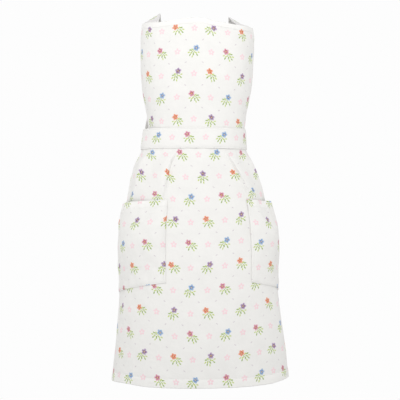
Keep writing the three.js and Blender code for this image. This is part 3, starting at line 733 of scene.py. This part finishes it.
# %% Folds of the skirt
knife_edge = 0.17


def fold_at(fold, angle, share):
    start_angle, end_angle, start, end, depth, width, sharp = fold
    t = (share - start) / (end - start)
    strength = ease(t * 6) * ease((1 - t) * 2.2)
    middle = mix(start_angle, end_angle, np.clip(t, 0, 1))
    inward = np.where(middle > 0, middle - angle, angle - middle) / width
    behind = np.exp(-(np.minimum(0, inward + 0.15) ** 2) * 0.8)
    knife = np.where(inward < 0.25, behind * ease((0.25 - inward) / knife_edge), 0)
    return depth * strength * mix(np.exp(-inward * inward), knife, sharp)


def on_skirt(angle, z):
    share = (waist_seam - z) / skirt_length
    turned_by = angle + swing * form("turned", z)
    height = pleat_depth * sum(fold_at(fold, angle, share) for fold in folds)
    return lifted(on_waist, turned_by, z, height)


def skirt_unevenness(angle, z):
    across, down = np.radians(angle) * radius_at(z), waist_seam + seam_allowance - z
    return 0.6 * uneven(across, down * 0.45, 85, 21) + 0.22 * uneven(across, down * 0.8, 27, 22)


print("depth of the deepest fold", round(pleat_depth * max(fold[4] for fold in folds), 2), "mm")

# %% [markdown]
# Then come the panel's own edges, gathers and hems. Its outer 40% of columns on each side, from the side edge to
# the pleat, cover about 70 degrees of the form.

# %% The skirt
skirt_height = skirt_length + seam_allowance
outer_share, outer_turn = 0.4, 70


def skirt_place(u, v):
    side = 2 * u - 1
    low = hem_line + hem_lift * curve(hem_edge, "side", "lift", side)
    z = mix(waist_seam + seam_allowance, low, v)
    share = (waist_seam - z) / skirt_length
    # Columns at 40% and 60% of the width ride on the two knife pleats.
    left, right = (mix(f[0], f[1], ease((share - f[2]) / (f[3] - f[2]))) for f in (folds[0], folds[2]))
    # Each column's angle: straight shares between the sides and the pleats.
    angle = np.where(u < 0.4, mix(-skirt_wrap, left, u / 0.4), 0)
    angle = np.where((u >= 0.4) & (u < 0.6), mix(left, right, (u - 0.4) / 0.2), angle)
    angle = np.where(u >= 0.6, mix(right, skirt_wrap, (u - 0.6) / 0.4), angle)
    across, down = np.radians(angle) * radius_at(z), v * skirt_height
    from_side = (skirt_wrap - np.abs(angle)) * math.pi / 180 * radius_at(z)
    from_hem = (1 - v) * skirt_height
    lift = skirt_unevenness(angle, z)
    # Small gathers under the waistband, which fade out down the skirt.
    lift = lift + 0.5 * np.exp(-np.abs(down - seam_allowance) / 26) * uneven(across, down * 0.08, 12, 23)
    for stitched, along in ((from_hem - skirt_hem, across), (from_side - side_hem, down)):
        lift = lift - 0.35 * near(stitched, 1.4)
        lift = lift + 0.2 * near(stitched, 6) * uneven(along, stitched * 0, 12, 24)
    lift = lift * ease((down - 5) / 13)
    return lifted(on_skirt, angle, z, lift)


def skirt_wall(u, v):
    down = v * skirt_height
    from_side = np.minimum(u, 1 - u) / outer_share * math.radians(outer_turn) * radius_at(hem_line)
    turned = ease((skirt_hem + 0.5 - (skirt_height - down)) / 1.0)
    turned = np.maximum(turned, ease((side_hem + 0.5 - from_side) / 1.0) * ease((down - seam_allowance) / 2))
    return mix(cloth_wall, hem_wall, turned)


crowd = np.concatenate([0.4 + np.linspace(-0.012, 0.004, 22), 0.6 + np.linspace(-0.004, 0.012, 22)])
half_u = np.concatenate([np.linspace(0, 0.385, 100), [0.002, 0.012], np.linspace(0.388, 0.408, 12)])
skirt_u = np.concatenate([half_u, 1 - half_u, np.linspace(0.412, 0.588, 50), crowd])
skirt_u = np.unique(np.round(skirt_u, 5))
hem_places = (0.05, 0.5, 0.9, 0.97, 1, 1.03, 1.1)
skirt_v = spaced(0, 1, 3.2 / skirt_height, [1 - skirt_hem / skirt_height * k for k in hem_places])
skirt = Sheet(skirt_u, skirt_v, skirt_place, skirt_wall)
turned = turned_faces(skirt_wall, skirt_u, skirt_v)
skirt_object = sheet_object("skirt_cloth", skirt, sewn, turned, phase=(35, 3))

# %% [markdown]
# The patch pockets are big squares, stitched to the skirt on three sides and hemmed at the mouth.
# They stand open because they were cut wider than the place they are sewn to.

# %% The pockets
pocket_stitch_in = 3


def pocket_wall(u, v):
    return mix(cloth_wall, hem_wall, ease((pocket_hem + 0.5 - v * pocket_height) / 1.0))


def pocket_place_for(side):
    def place(u, v):
        a = u if side > 0 else 1 - u
        drop = mix(pocket_mouth_dip, pocket_base_dip, v) * a
        z = pocket_top - v * pocket_height - drop
        width = mix(pocket_mouth_width, pocket_base_width, v)
        half = np.degrees(width / 2 / radius_at(pocket_top - v * pocket_height))
        angle = side * (pocket_angle + (2 * a - 1) * half)
        # Off the skirt in the middle, and flat where its three edges are sewn on.
        round_off = np.sin(np.pi * np.clip(a, 0, 1) ** 0.82) ** 0.75
        off = pocket_bulge[side] * round_off * curve(pocket_off, "down", "off", v)
        # The front part of the mouth lies close to the skirt, and only the side part stands open.
        off = off * mix(0.12 + 0.88 * ease((a - 0.2) / 0.5), 1, ease(v / 0.5))
        across, down = (a - 0.5) * width, v * pocket_height
        inside = np.minimum(np.minimum(a, 1 - a) * width, (1 - v) * pocket_height)
        lift = 0.7 * uneven(across, down, 48, 31 + side) + 0.3 * uneven(across, down, 19, 33 + side)
        lift = lift * ease(inside / 14)
        # A soft crease runs down from the front top corner of each pocket.
        crease = (across + pocket_mouth_width * 0.42) - (down - 14) * 0.75
        lift = lift + 1.3 * near(crease, 5) * ease((down - 12) / 16) * ease((70 - down) / 40) * ease(inside / 10)
        hem_stitch = down - pocket_hem
        groove = 0.25 * near(hem_stitch, 6) * uneven(across, down * 0, 13, 35) - 0.2 * near(hem_stitch, 1.5)
        lift = lift + groove * ease(inside / 8)
        edge_stitch = inside - pocket_stitch_in
        pucker = 0.1 * near(edge_stitch, 4) * (1 + uneven(across + down, down * 0, 11, 36))
        lift = lift - 0.2 * near(edge_stitch, 1.2) + pucker
        # Its outside swells softly over the hem, and the step to the single cloth is on the inside.
        swell = mix(cloth_wall, hem_wall, ease((pocket_hem + 14 - down) / 14))
        seat = cloth_wall / 2 + clearance + swell - pocket_wall(u, v) / 2
        sewn_down = lifted(on_skirt, angle, z, seat + lift + skirt_unevenness(angle, z))
        # It stands off along the smooth form, so it bridges the folds under it.
        smooth_out = out_of(on_waist, angle + swing * form("turned", z), z)
        return sewn_down + smooth_out * off[..., None]

    return place


pocket_u = spaced(0, 1, 1.0 / 74)
pocket_v = spaced(0, 1, 1.0 / 74, [pocket_hem / pocket_height * k for k in (0.06, 0.93, 1, 1.07)])
turned = turned_faces(pocket_wall, pocket_u, pocket_v)
pockets, pocket_objects = {}, {}
for side, name in ((-1, "pocket_left_cloth"), (1, "pocket_right_cloth")):
    pockets[side] = Sheet(pocket_u, pocket_v, pocket_place_for(side), pocket_wall)
    phase = (11, -19.5) if side < 0 else (60, -17.5)
    pocket_objects[side] = sheet_object(name, pockets[side], sewn, turned, phase=phase)

# %% [markdown]
# Each strap is a double strip, stitched along both edges. It starts behind the bib's corner, goes over the
# shoulder, crosses the other one at the back and ends inside the waistband.

# %% Way of the straps
def between4(near_rows, t):
    """Points between the middle two of four rows, on a smooth curve that swings past none of them."""
    p0, p1, p2, p3 = near_rows

    def slope(before, after):
        both = before + after
        safe = np.where(np.abs(both) < 1e-9, 1, both)
        return np.where(before * after <= 0, 0, 2 * before * after / safe)

    leave, arrive = slope(p1 - p0, p2 - p1), slope(p2 - p1, p3 - p2)
    t = t[..., None]
    return mix(p1, p2, t * t * (3 - 2 * t)) + leave * t * (1 - t) ** 2 + arrive * t * t * (t - 1)


def on_back(turn, z):
    return on_form(180 + turn, z)


def strap_rows(side, over):
    behind_bib = -(hem_wall - cloth_wall / 2 + layer_gap + strap_wall / 2)
    slope = math.radians(shoulder_slope)
    crest_x = strap_shift + side * strap_half_span
    crest_top = -strap_wall / 2 - (strap_tilt if side > 0 else 0)

    def foot(u, rise):
        angle = side * mix(strap_foot_angle + foot_half, strap_foot_angle - foot_half, u)
        return lifted(on_form, angle, bib_top_at(angle) + rise, behind_bib)

    def crest(u, back, down):
        x = crest_x - side * (u - 0.5) * strap_width * math.cos(slope)
        z = crest_top - (1 - u) * strap_width * math.sin(slope) - down
        return np.stack([x, crest_back + back + 0 * u, z], -1)

    over_lift = over * (strap_wall + layer_gap * 2)

    def back_row(row, following):
        z = bib_top - row[1] * bib_height
        radius = form("back", z)
        run = math.radians(following[0] - row[0]) * radius
        fall = -(following[1] - row[1]) * bib_height
        length = math.hypot(run, fall)

        def place(u):
            t = (u - 0.5) * strap_width
            turn = row[0] + np.degrees(t * -fall / length / radius)
            high = z + t * run / length
            lift = row[2] * over_lift + row[3] * gape_at(180 + side * turn, waistband_top)
            return lifted(on_back, side * turn, high, strap_wall / 2 + lift)

        return place

    def end_row(z):
        def place(u):
            turn = 180 - strap_end_angle + (u - 0.5) * 2 * strap_end_half
            inside = waistband_stand - waistband_wall / 2 - layer_gap - strap_wall / 2
            return lifted(lambda a, b: on_waist(180 + a, b), side * turn, z + 0 * u, inside)

        return place

    rows = [lambda u: foot(u, -strap_tuck), lambda u: foot(u, 0)]
    rows += [lambda u: mix(foot(u, 0), crest(u, 0, 0), 0.5)]
    rows += [lambda u: crest(u, -crest_lead, 0), lambda u: crest(u, crest_run, crest_fall)]
    # Each row is square to the way to the next one, and the last of them heads for the waistband.
    following = strap_back[1:] + [(68, 1.02)]
    rows += [back_row(row, after) for row, after in zip(strap_back, following)]
    return rows + [end_row(waistband_top + 2), end_row(waistband_top - strap_tuck)]


print("rows of points along a strap", len(strap_rows(1, 1)))

# %% [markdown]
# The strap's sheet runs smoothly through those rows. The right one is lifted over the left one where they cross.

# %% The straps
def strap_sheet(side, over):
    rows = strap_rows(side, over)
    last = len(rows) - 1

    def place(u, v):
        knots = np.stack([row(u[:, 0]) for row in rows])
        t = v[0] * last
        k = np.minimum(last - 1, np.floor(t).astype(int))
        picked = [knots[np.clip(k + step, 0, last)].transpose(1, 0, 2) for step in (-1, 0, 1, 2)]
        return between4(picked, np.broadcast_to(t - k, (len(u), len(k))))

    flat = Sheet(np.linspace(0, 1, 21), np.linspace(0, 1, last * 16 + 1), place, lambda u, v: strap_wall + 0 * u)
    uu, vv = np.meshgrid(flat.u, flat.v, indexing="ij")
    edge = np.minimum(uu, 1 - uu) * strap_width
    # Edge stitching pulls both sides in, and the strip between them puffs up a little.
    puff = -0.2 * near(edge - 2.5, 1.1) + 0.16 * ease(edge / 8) * uneven(uu * 30, vv * 400, 24, 41 + side)
    flat.middle = flat.middle + flat.out * (puff * np.sin(np.pi * np.clip(vv * 8, 0, 0.5)))[..., None]
    return flat


straps, strap_objects = {}, {}
for side, over, name in ((-1, 0, "shoulder_strap_left_cloth"), (1, 1, "shoulder_strap_right_cloth")):
    straps[side] = strap_sheet(side, over)
    strap_objects[side] = sheet_object(name, straps[side], [strap_cotton], phase=(27, 19), upright=True)

# %% [markdown]
# The ties run from the waistband's ends to a knot behind the waist, where they gather, and two ends hang down.

# %% Ties, knot and tails
tie_height = (waistband_top + waist_seam) / 2
knot_stand = knot_half_depth + clearance
knot_centre = on_back(0.0, tie_height) + np.array([0, knot_stand, 0])


def tie_place_for(side):
    start = waistband_wrap + math.degrees(clearance / form("back", tie_height))
    half = float(form("half", tie_height))
    round_back = half * half / float(form("back", tie_height))
    spread = half * (1 + squareness) * (1 + knot_stand / round_back)
    end = 180 - math.degrees(math.asin((knot_half_width + clearance) / spread))

    def place(u, v):
        t = u if side > 0 else 1 - u
        angle = side * mix(start, end, t)
        width = mix(tie_width, tie_pinch, ease((t - 0.35) / 0.65))
        stand = mix(waistband_stand, knot_stand, ease((t - 0.45) / 0.55))
        gathers = 0.9 * ease((t - 0.4) / 0.6) * np.sin(v * 2 * math.pi * 3)
        gathers = gathers + 0.25 * uneven(t * 60, v * 20, 22, 51 + side)
        return lifted(on_waist, angle, tie_height + (0.5 - v) * width, stand + gathers)

    return place


def tail_place_for(side):
    top = knot_centre[2] - knot_half_height - clearance

    def place(u, v):
        width = mix(tie_pinch * 0.7, tie_width, ease(v * 2.2))
        lean = tail_spread * (0.35 * v + 0.65 * v * v)
        twist = np.radians(side * 26 * np.sin(v * 2.6))
        x = side * (width / 2 + clearance + lean)
        across = (u - 0.5) * width
        gathers = 0.8 * ease(1 - v * 2.4) * np.sin(u * 2 * math.pi * 2.5)
        gathers = gathers + 0.3 * uneven(u * 26, v * 175, 34, 61 + side)
        y = knot_centre[1] + tail_sway * np.sin(v * math.pi * 1.3) + across * np.sin(twist) + gathers
        return np.stack([knot_centre[0] + x - across * np.cos(twist), y, top - v * tail_length], -1)

    return place


ties, tie_objects, tails, tail_objects = {}, {}, {}, {}
tie_u, tie_v = np.linspace(0, 1, 56), np.linspace(0, 1, 25)
tail_u, tail_v = np.linspace(0, 1, 21), np.linspace(0, 1, 100)
for side, word in ((-1, "left"), (1, "right")):
    ties[side] = Sheet(tie_u, tie_v, tie_place_for(side), lambda u, v: tie_wall + 0 * u)
    tie_objects[side] = sheet_object(f"waist_tie_{word}_cloth", ties[side], [strap_cotton], phase=(3, 11))
    tails[side] = Sheet(tail_u, tail_v, tail_place_for(side), lambda u, v: tie_wall + 0 * u)
    tail_objects[side] = sheet_object(f"tie_tail_{word}_cloth", tails[side], [strap_cotton], phase=(9, 14))

# %% [markdown]
# The knot is a small lump: rings of points from bottom to top, and one point at each end.
# Three strands wrap round each other in it, so soft grooves run slanting over the lump.

# %% The knot
knot_columns, knot_bands = 72, 41
knot_print_shift = (-0.004, 0.21)
turns = np.arange(knot_columns) * 2 * math.pi / knot_columns
rises = np.linspace(-0.5, 0.5, knot_bands + 1)[1:-1] * math.pi
turn, rise = np.meshgrid(turns, rises)
lobe = 1 + 0.1 * np.cos(2 * turn) * np.cos(rise)
strand = 1 - 0.07 * np.abs(np.sin(1.5 * turn + 1.7 * np.sin(rise))) ** 0.6 * np.cos(rise)
grain = 1 - 0.02 * np.abs(np.sin(9 * turn + 6 * rise)) * np.cos(rise)
swell = strand * grain
knot_points = np.stack([
    knot_centre[0] + knot_half_width * np.cos(turn) * np.cos(rise) * swell,
    knot_centre[1] + knot_half_depth * np.sin(turn) * np.cos(rise) * lobe * swell,
    knot_centre[2] + knot_half_height * np.sin(rise),
], -1).reshape(-1, 3)
poles = [knot_centre + [0, 0, -knot_half_height], knot_centre + [0, 0, knot_half_height]]
knot_points = np.concatenate([knot_points, poles]) / 1000
faces = []
count = len(knot_points) - 2
for low in range(0, count - knot_columns, knot_columns):
    high = low + knot_columns
    for i in range(knot_columns):
        j = (i + 1) % knot_columns
        faces.append((low + i, low + j, high + j, high + i))
for i in range(knot_columns):
    j = (i + 1) % knot_columns
    faces.append((count, j, i))
    faces.append((count + 1, count - knot_columns + i, count - knot_columns + j))
knot_mesh = bpy.data.meshes.new("tie_knot_cloth")
knot_mesh.from_pydata(knot_points.tolist(), [], faces)
knot_uv = knot_mesh.uv_layers.new(name="cloth")
for polygon in knot_mesh.polygons:
    polygon.use_smooth = True
    for loop in polygon.loop_indices:
        x, _, z = knot_mesh.vertices[knot_mesh.loops[loop].vertex_index].co
        knot_uv.data[loop].uv = (x + knot_print_shift[0], z + knot_print_shift[1])
knot_mesh.materials.append(strap_cotton)
knot_object = bpy.data.objects.new("tie_knot_cloth", knot_mesh)
bpy.context.scene.collection.objects.link(knot_object)
print("knot", len(faces), "faces")

# %% [markdown]
# Stitches repeat along a line, which is work for Geometry Nodes.
# The tree takes a seam line, puts points on it a stitch apart and sets a small rounded thread on each one.
# Its inputs are named, and the seed is fixed, so every seam uses the same tree with its own sizes.

# %% The stitch tree
def stitch_tree():
    tree = bpy.data.node_groups.new("Running stitch", "GeometryNodeTree")
    wanted = [
        ("Seam line", "NodeSocketGeometry"),
        ("Stitch length", "NodeSocketFloat"),
        ("Gap", "NodeSocketFloat"),
        ("Thread thickness", "NodeSocketFloat"),
        ("Seed", "NodeSocketInt"),
        ("Thread", "NodeSocketMaterial"),
    ]
    for name, kind in wanted:
        tree.interface.new_socket(name=name, in_out="INPUT", socket_type=kind)
    tree.interface.new_socket(name="Stitches", in_out="OUTPUT", socket_type="NodeSocketGeometry")
    given = add(tree, "NodeGroupInput").outputs
    line = add(tree, "GeometryNodeMeshToCurve", None, {"Mesh": given["Seam line"]})
    step = add(tree, "ShaderNodeMath", {"operation": "ADD"}, {0: given["Stitch length"], 1: given["Gap"]})
    points = add(tree, "GeometryNodeCurveToPoints", {"mode": "LENGTH"}, {"Curve": line, "Length": step})
    thread = add(tree, "GeometryNodeMeshIcoSphere", None, {"Radius": 0.5, "Subdivisions": 1})
    inputs = {2: 0.88, 3: 1.06, "Seed": given["Seed"]}
    uneven_length = add(tree, "FunctionNodeRandomValue", {"data_type": "FLOAT"}, inputs)
    inputs = {0: given["Stitch length"], 1: uneven_length.outputs[1]}
    length = add(tree, "ShaderNodeMath", {"operation": "MULTIPLY"}, inputs)
    thick = given["Thread thickness"]
    size = add(tree, "ShaderNodeCombineXYZ", None, {0: thick, 1: thick, 2: length})
    inputs = {"Points": points, "Instance": thread, "Rotation": points.outputs["Rotation"], "Scale": size}
    placed = add(tree, "GeometryNodeInstanceOnPoints", None, inputs)
    real = add(tree, "GeometryNodeRealizeInstances", None, {"Geometry": placed})
    smooth = add(tree, "GeometryNodeSetShadeSmooth", None, {0: real})
    finished = add(tree, "GeometryNodeSetMaterial", None, {"Geometry": smooth, "Material": given["Thread"]})
    add(tree, "NodeGroupOutput", None, {"Stitches": finished})
    return tree


running_stitch = stitch_tree()
print("inputs", [item.name for item in running_stitch.interface.items_tree if item.in_out == "INPUT"])

# %% [markdown]
# To sew, we make a mesh of bare edges along the seam, let the tree put its stitches on it and keep the result.
# A stitch is 2.6 mm long, the next one starts 0.8 mm after it, and the thread is 0.5 mm thick.

# %% Helper that sews a line
stitch_length, stitch_gap, thread_thick = 2.6, 0.8, 0.5


def sew(name, lines, seed=7):
    """Turns seam lines, each a row of points in mm, into a mesh of stitches."""
    points, edges = [], []
    for line in lines:
        edges += [(len(points) + k, len(points) + k + 1) for k in range(len(line) - 1)]
        points += (np.asarray(line) / 1000).tolist()
    mesh = bpy.data.meshes.new(name + "_line")
    mesh.from_pydata(points, edges, [])
    seam = bpy.data.objects.new(name + "_line", mesh)
    bpy.context.scene.collection.objects.link(seam)
    modifier = seam.modifiers.new("stitches", "NODES")
    modifier.node_group = running_stitch
    values = {"Stitch length": stitch_length / 1000, "Gap": stitch_gap / 1000}
    values.update({"Thread thickness": thread_thick / 1000, "Seed": seed, "Thread": sewing_thread})
    for item in running_stitch.interface.items_tree:
        if item.in_out == "INPUT" and item.name in values:
            modifier[item.identifier] = values[item.name]
    seam.update_tag()
    ready = seam.evaluated_get(bpy.context.evaluated_depsgraph_get())
    made = bpy.data.objects.new(name, bpy.data.meshes.new_from_object(ready))
    made.data.name = name
    bpy.context.scene.collection.objects.link(made)
    bpy.data.objects.remove(seam)
    print(name, len(made.data.polygons), "faces")
    return made


print("stitches in 10 cm", round(100 / (stitch_length + stitch_gap)))

# %% [markdown]
# Each hem has one row of stitches near its turned edge, seen on both faces of the cloth.
# Waistband, straps and pockets are stitched along their edges, about 2 to 3 mm in. For the straps, ties and
# tails that is given as a share of their width.

# %% Stitching
line_points = 500
strap_in, tie_in, tail_in = 0.08, 0.09, 0.1


def level(cloth, v, inside=False, ends=(0.004, 0.996)):
    u = np.linspace(*ends, line_points)
    return cloth.line(u, np.full(len(u), v), inside=inside)


def upright_line(cloth, u, start=0.004, end=0.996, inside=False):
    v = np.linspace(start, end, line_points)
    return cloth.line(np.full(len(v), u), v, inside=inside)


skirt_side = side_hem / (math.radians(outer_turn) * radius_at(hem_line)) * outer_share
bib_lines, skirt_lines = [], []
for inside in (False, True):
    bib_lines.append(level(bib, bib_hem / bib_length, inside, (hem_share, 1 - hem_share)))
    skirt_lines.append(level(skirt, 1 - skirt_hem / skirt_height, inside, (0.012, 0.988)))
    for u in (hem_share, 1 - hem_share):
        bib_lines.append(upright_line(bib, u, bib_hem / bib_length, 0.95, inside))
    for u in (skirt_side, 1 - skirt_side):
        skirt_lines.append(upright_line(skirt, u, 0.03, 1 - skirt_hem / skirt_height, inside))
band_edges = (band_stitch_in / waistband_height, 1 - band_stitch_in / waistband_height)
band_lines = [level(waistband, v, inside) for v in band_edges for inside in (False, True)]
stitches = {
    "stitches_bib": sew("stitches_bib", bib_lines),
    "stitches_skirt": sew("stitches_skirt", skirt_lines, seed=8),
    "stitches_waistband": sew("stitches_waistband", band_lines, seed=9),
}
for side, word in ((-1, "left"), (1, "right")):
    in_u, in_v = pocket_stitch_in / pocket_base_width, pocket_stitch_in / pocket_height
    lines = [level(pockets[side], pocket_hem / pocket_height)]
    lines += [upright_line(pockets[side], u, 0.01, 1 - in_v) for u in (in_u, 1 - in_u)]
    lines += [level(pockets[side], 1 - in_v, ends=(in_u, 1 - in_u))]
    stitches[f"stitches_pocket_{word}"] = sew(f"stitches_pocket_{word}", lines, seed=10)
    strap_edges = (strap_in, 1 - strap_in)
    lines = [upright_line(straps[side], u, 0.02, 0.98, inside) for u in strap_edges for inside in (False, True)]
    stitches[f"stitches_strap_{word}"] = sew(f"stitches_strap_{word}", lines, seed=11)
    lines = [level(ties[side], v, inside) for v in (tie_in, 1 - tie_in) for inside in (False, True)]
    stitches[f"stitches_tie_{word}"] = sew(f"stitches_tie_{word}", lines, seed=12)
    tail_edges = (tail_in, 1 - tail_in)
    lines = [upright_line(tails[side], u, 0.01, 0.985, inside) for u in tail_edges for inside in (False, True)]
    lines += [level(tails[side], 0.985, inside, tail_edges) for inside in (False, True)]
    stitches[f"stitches_tail_{word}"] = sew(f"stitches_tail_{word}", lines, seed=13)

# %% [markdown]
# Every piece rides on the one body and stands for its solid in the packed model.
# Waistband, straps, ties and tails are strips sewn double.

def settle(piece, slot, *nodes):
    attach(piece, "root")
    if nodes:
        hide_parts(*nodes)


settle(bib_object, "printed_cotton", "bib")
settle(waistband_object, "printed_cotton", "waistband")
settle(skirt_object, "printed_cotton", "skirt")
settle(knot_object, "strap_cotton", "tie_knot")
for name, piece in stitches.items():
    settle(piece, "strap_cotton" if any(word in name for word in ("strap", "tie", "tail")) else "printed_cotton")
for side, word in ((-1, "left"), (1, "right")):
    settle(pocket_objects[side], "printed_cotton", f"pocket_{word}")
    settle(strap_objects[side], "strap_cotton", f"shoulder_strap_{word}")
    settle(tie_objects[side], "strap_cotton", f"waist_tie_{word}")
    settle(tail_objects[side], "strap_cotton", f"tie_tail_{word}")


print("declared", len(stitches) + 12, "pieces")

# %% [markdown]
# The apron hangs as high above the floor as on a child. The floor is a sheet of white studio paper, which glows a
# little.
# Right under the apron the paper is painted grey and does not glow, a painted shadow, so less light comes up to the
# hem than to the bib.
# The camera itself sees the paper as an even white, the same as the background, so no horizon shows.

# %% Floor
floor_height = -0.92
shade_from, shade_to = 0.95, 1.3
floor_corners = [(x, y, floor_height) for x, y in ((-12, -8), (12, -8), (12, 16), (-12, 16))]
floor_mesh = bpy.data.meshes.new("studio_floor")
floor_mesh.from_pydata(floor_corners, [], [(0, 1, 2, 3)])
floor = bpy.data.objects.new("studio_floor", floor_mesh)
bpy.context.scene.collection.objects.link(floor)
floor_paper = bpy.data.materials.new("White studio floor")
floor_paper.use_nodes = True
floor_tree = floor_paper.node_tree
floor_shader = floor_tree.nodes["Principled BSDF"]
floor_place = add(floor_tree, "ShaderNodeTexCoord").outputs["Object"]
floor_noise = add(floor_tree, "ShaderNodeTexNoise", None, {"Vector": floor_place, "Scale": 2.0, "Detail": 2.0})
floor_shade = {0: floor_noise.outputs["Fac"], 6: paint("#F7F7F7"), 7: paint("#FBFBFB")}
floor_colour = add(floor_tree, "ShaderNodeMix", {"data_type": "RGBA"}, floor_shade)
from_middle = add(floor_tree, "ShaderNodeVectorMath", {"operation": "LENGTH"}, {0: floor_place}).outputs["Value"]
# Painted shadow: within about a metre of the middle the paper is painted grey and its glow is turned off.
open_floor = add(floor_tree, "ShaderNodeMapRange", None, {0: from_middle, 1: shade_from, 2: shade_to})
inputs = {0: open_floor, 6: paint("#BCBCBC"), 7: floor_colour.outputs[2]}
floor_colour = add(floor_tree, "ShaderNodeMix", {"data_type": "RGBA"}, inputs)
floor_glow = add(floor_tree, "ShaderNodeMath", {"operation": "MULTIPLY"}, {0: open_floor, 1: 0.38})
floor_tree.links.new(floor_glow.outputs[0], floor_shader.inputs["Emission Strength"])
floor_tree.links.new(floor_colour.outputs[2], floor_shader.inputs["Base Color"])
floor_shader.inputs["Roughness"].default_value = 0.9
floor_shader.inputs["Emission Color"].default_value = (1, 1, 1, 1)
floor_seen = add(floor_tree, "ShaderNodeEmission", None, {"Color": paint("#FDFDFD")})
camera_ray = add(floor_tree, "ShaderNodeLightPath").outputs["Is Camera Ray"]
inputs = {0: camera_ray, 1: floor_shader, 2: floor_seen}
floor_both = add(floor_tree, "ShaderNodeMixShader", None, inputs)
floor_tree.links.new(floor_both.outputs[0], floor_tree.nodes["Material Output"].inputs["Surface"])
floor_mesh.materials.append(floor_paper)
print("floor at", floor_height, "m")

# %% [markdown]
# One soft lamp stands close in front and above, so the light fades towards the hem, and a big one hangs high up.
# The world around is white too. It gives most of the light, and the camera sees it as the plain background.

# %% Light and background
def lamp(name, place, aim, size, power):
    data = bpy.data.lights.new(name, "AREA")
    data.shape = "DISK"
    data.size = size
    data.energy = power
    made = bpy.data.objects.new(name, data)
    made.location = place
    towards = np.array(aim, float) - np.array(place, float)
    tilt = math.atan2(math.hypot(towards[0], towards[1]), -towards[2])
    made.rotation_euler = (tilt, 0, math.atan2(-towards[0], towards[1]))
    bpy.context.scene.collection.objects.link(made)
    return made


lamp("front_lamp", (-0.1, -1.3, 1.0), (0, 0, 0.1), 0.7, 10.5)
lamp("top_lamp", (0, 0.6, 2.6), (0, 0.4, -0.9), 2.6, 6)

world = bpy.data.worlds.new("studio")
bpy.context.scene.world = world
world.use_nodes = True
world_tree = world.node_tree
lit = world_tree.nodes["Background"]
lit.inputs["Color"].default_value = (1, 1, 1, 1)
lit.inputs["Strength"].default_value = 0.72
seen = add(world_tree, "ShaderNodeBackground", None, {"Color": paint("#FDFDFD"), "Strength": 1.0})
ray = add(world_tree, "ShaderNodeLightPath").outputs["Is Camera Ray"]
both = add(world_tree, "ShaderNodeMixShader", None, {0: ray, 1: lit, 2: seen})
world_tree.links.new(both.outputs[0], world_tree.nodes["World Output"].inputs["Surface"])
bpy.context.scene.view_settings.view_transform = "Standard"
print("lamps", [light.name for light in bpy.data.lights if light.type == "AREA"])

# %% [markdown]
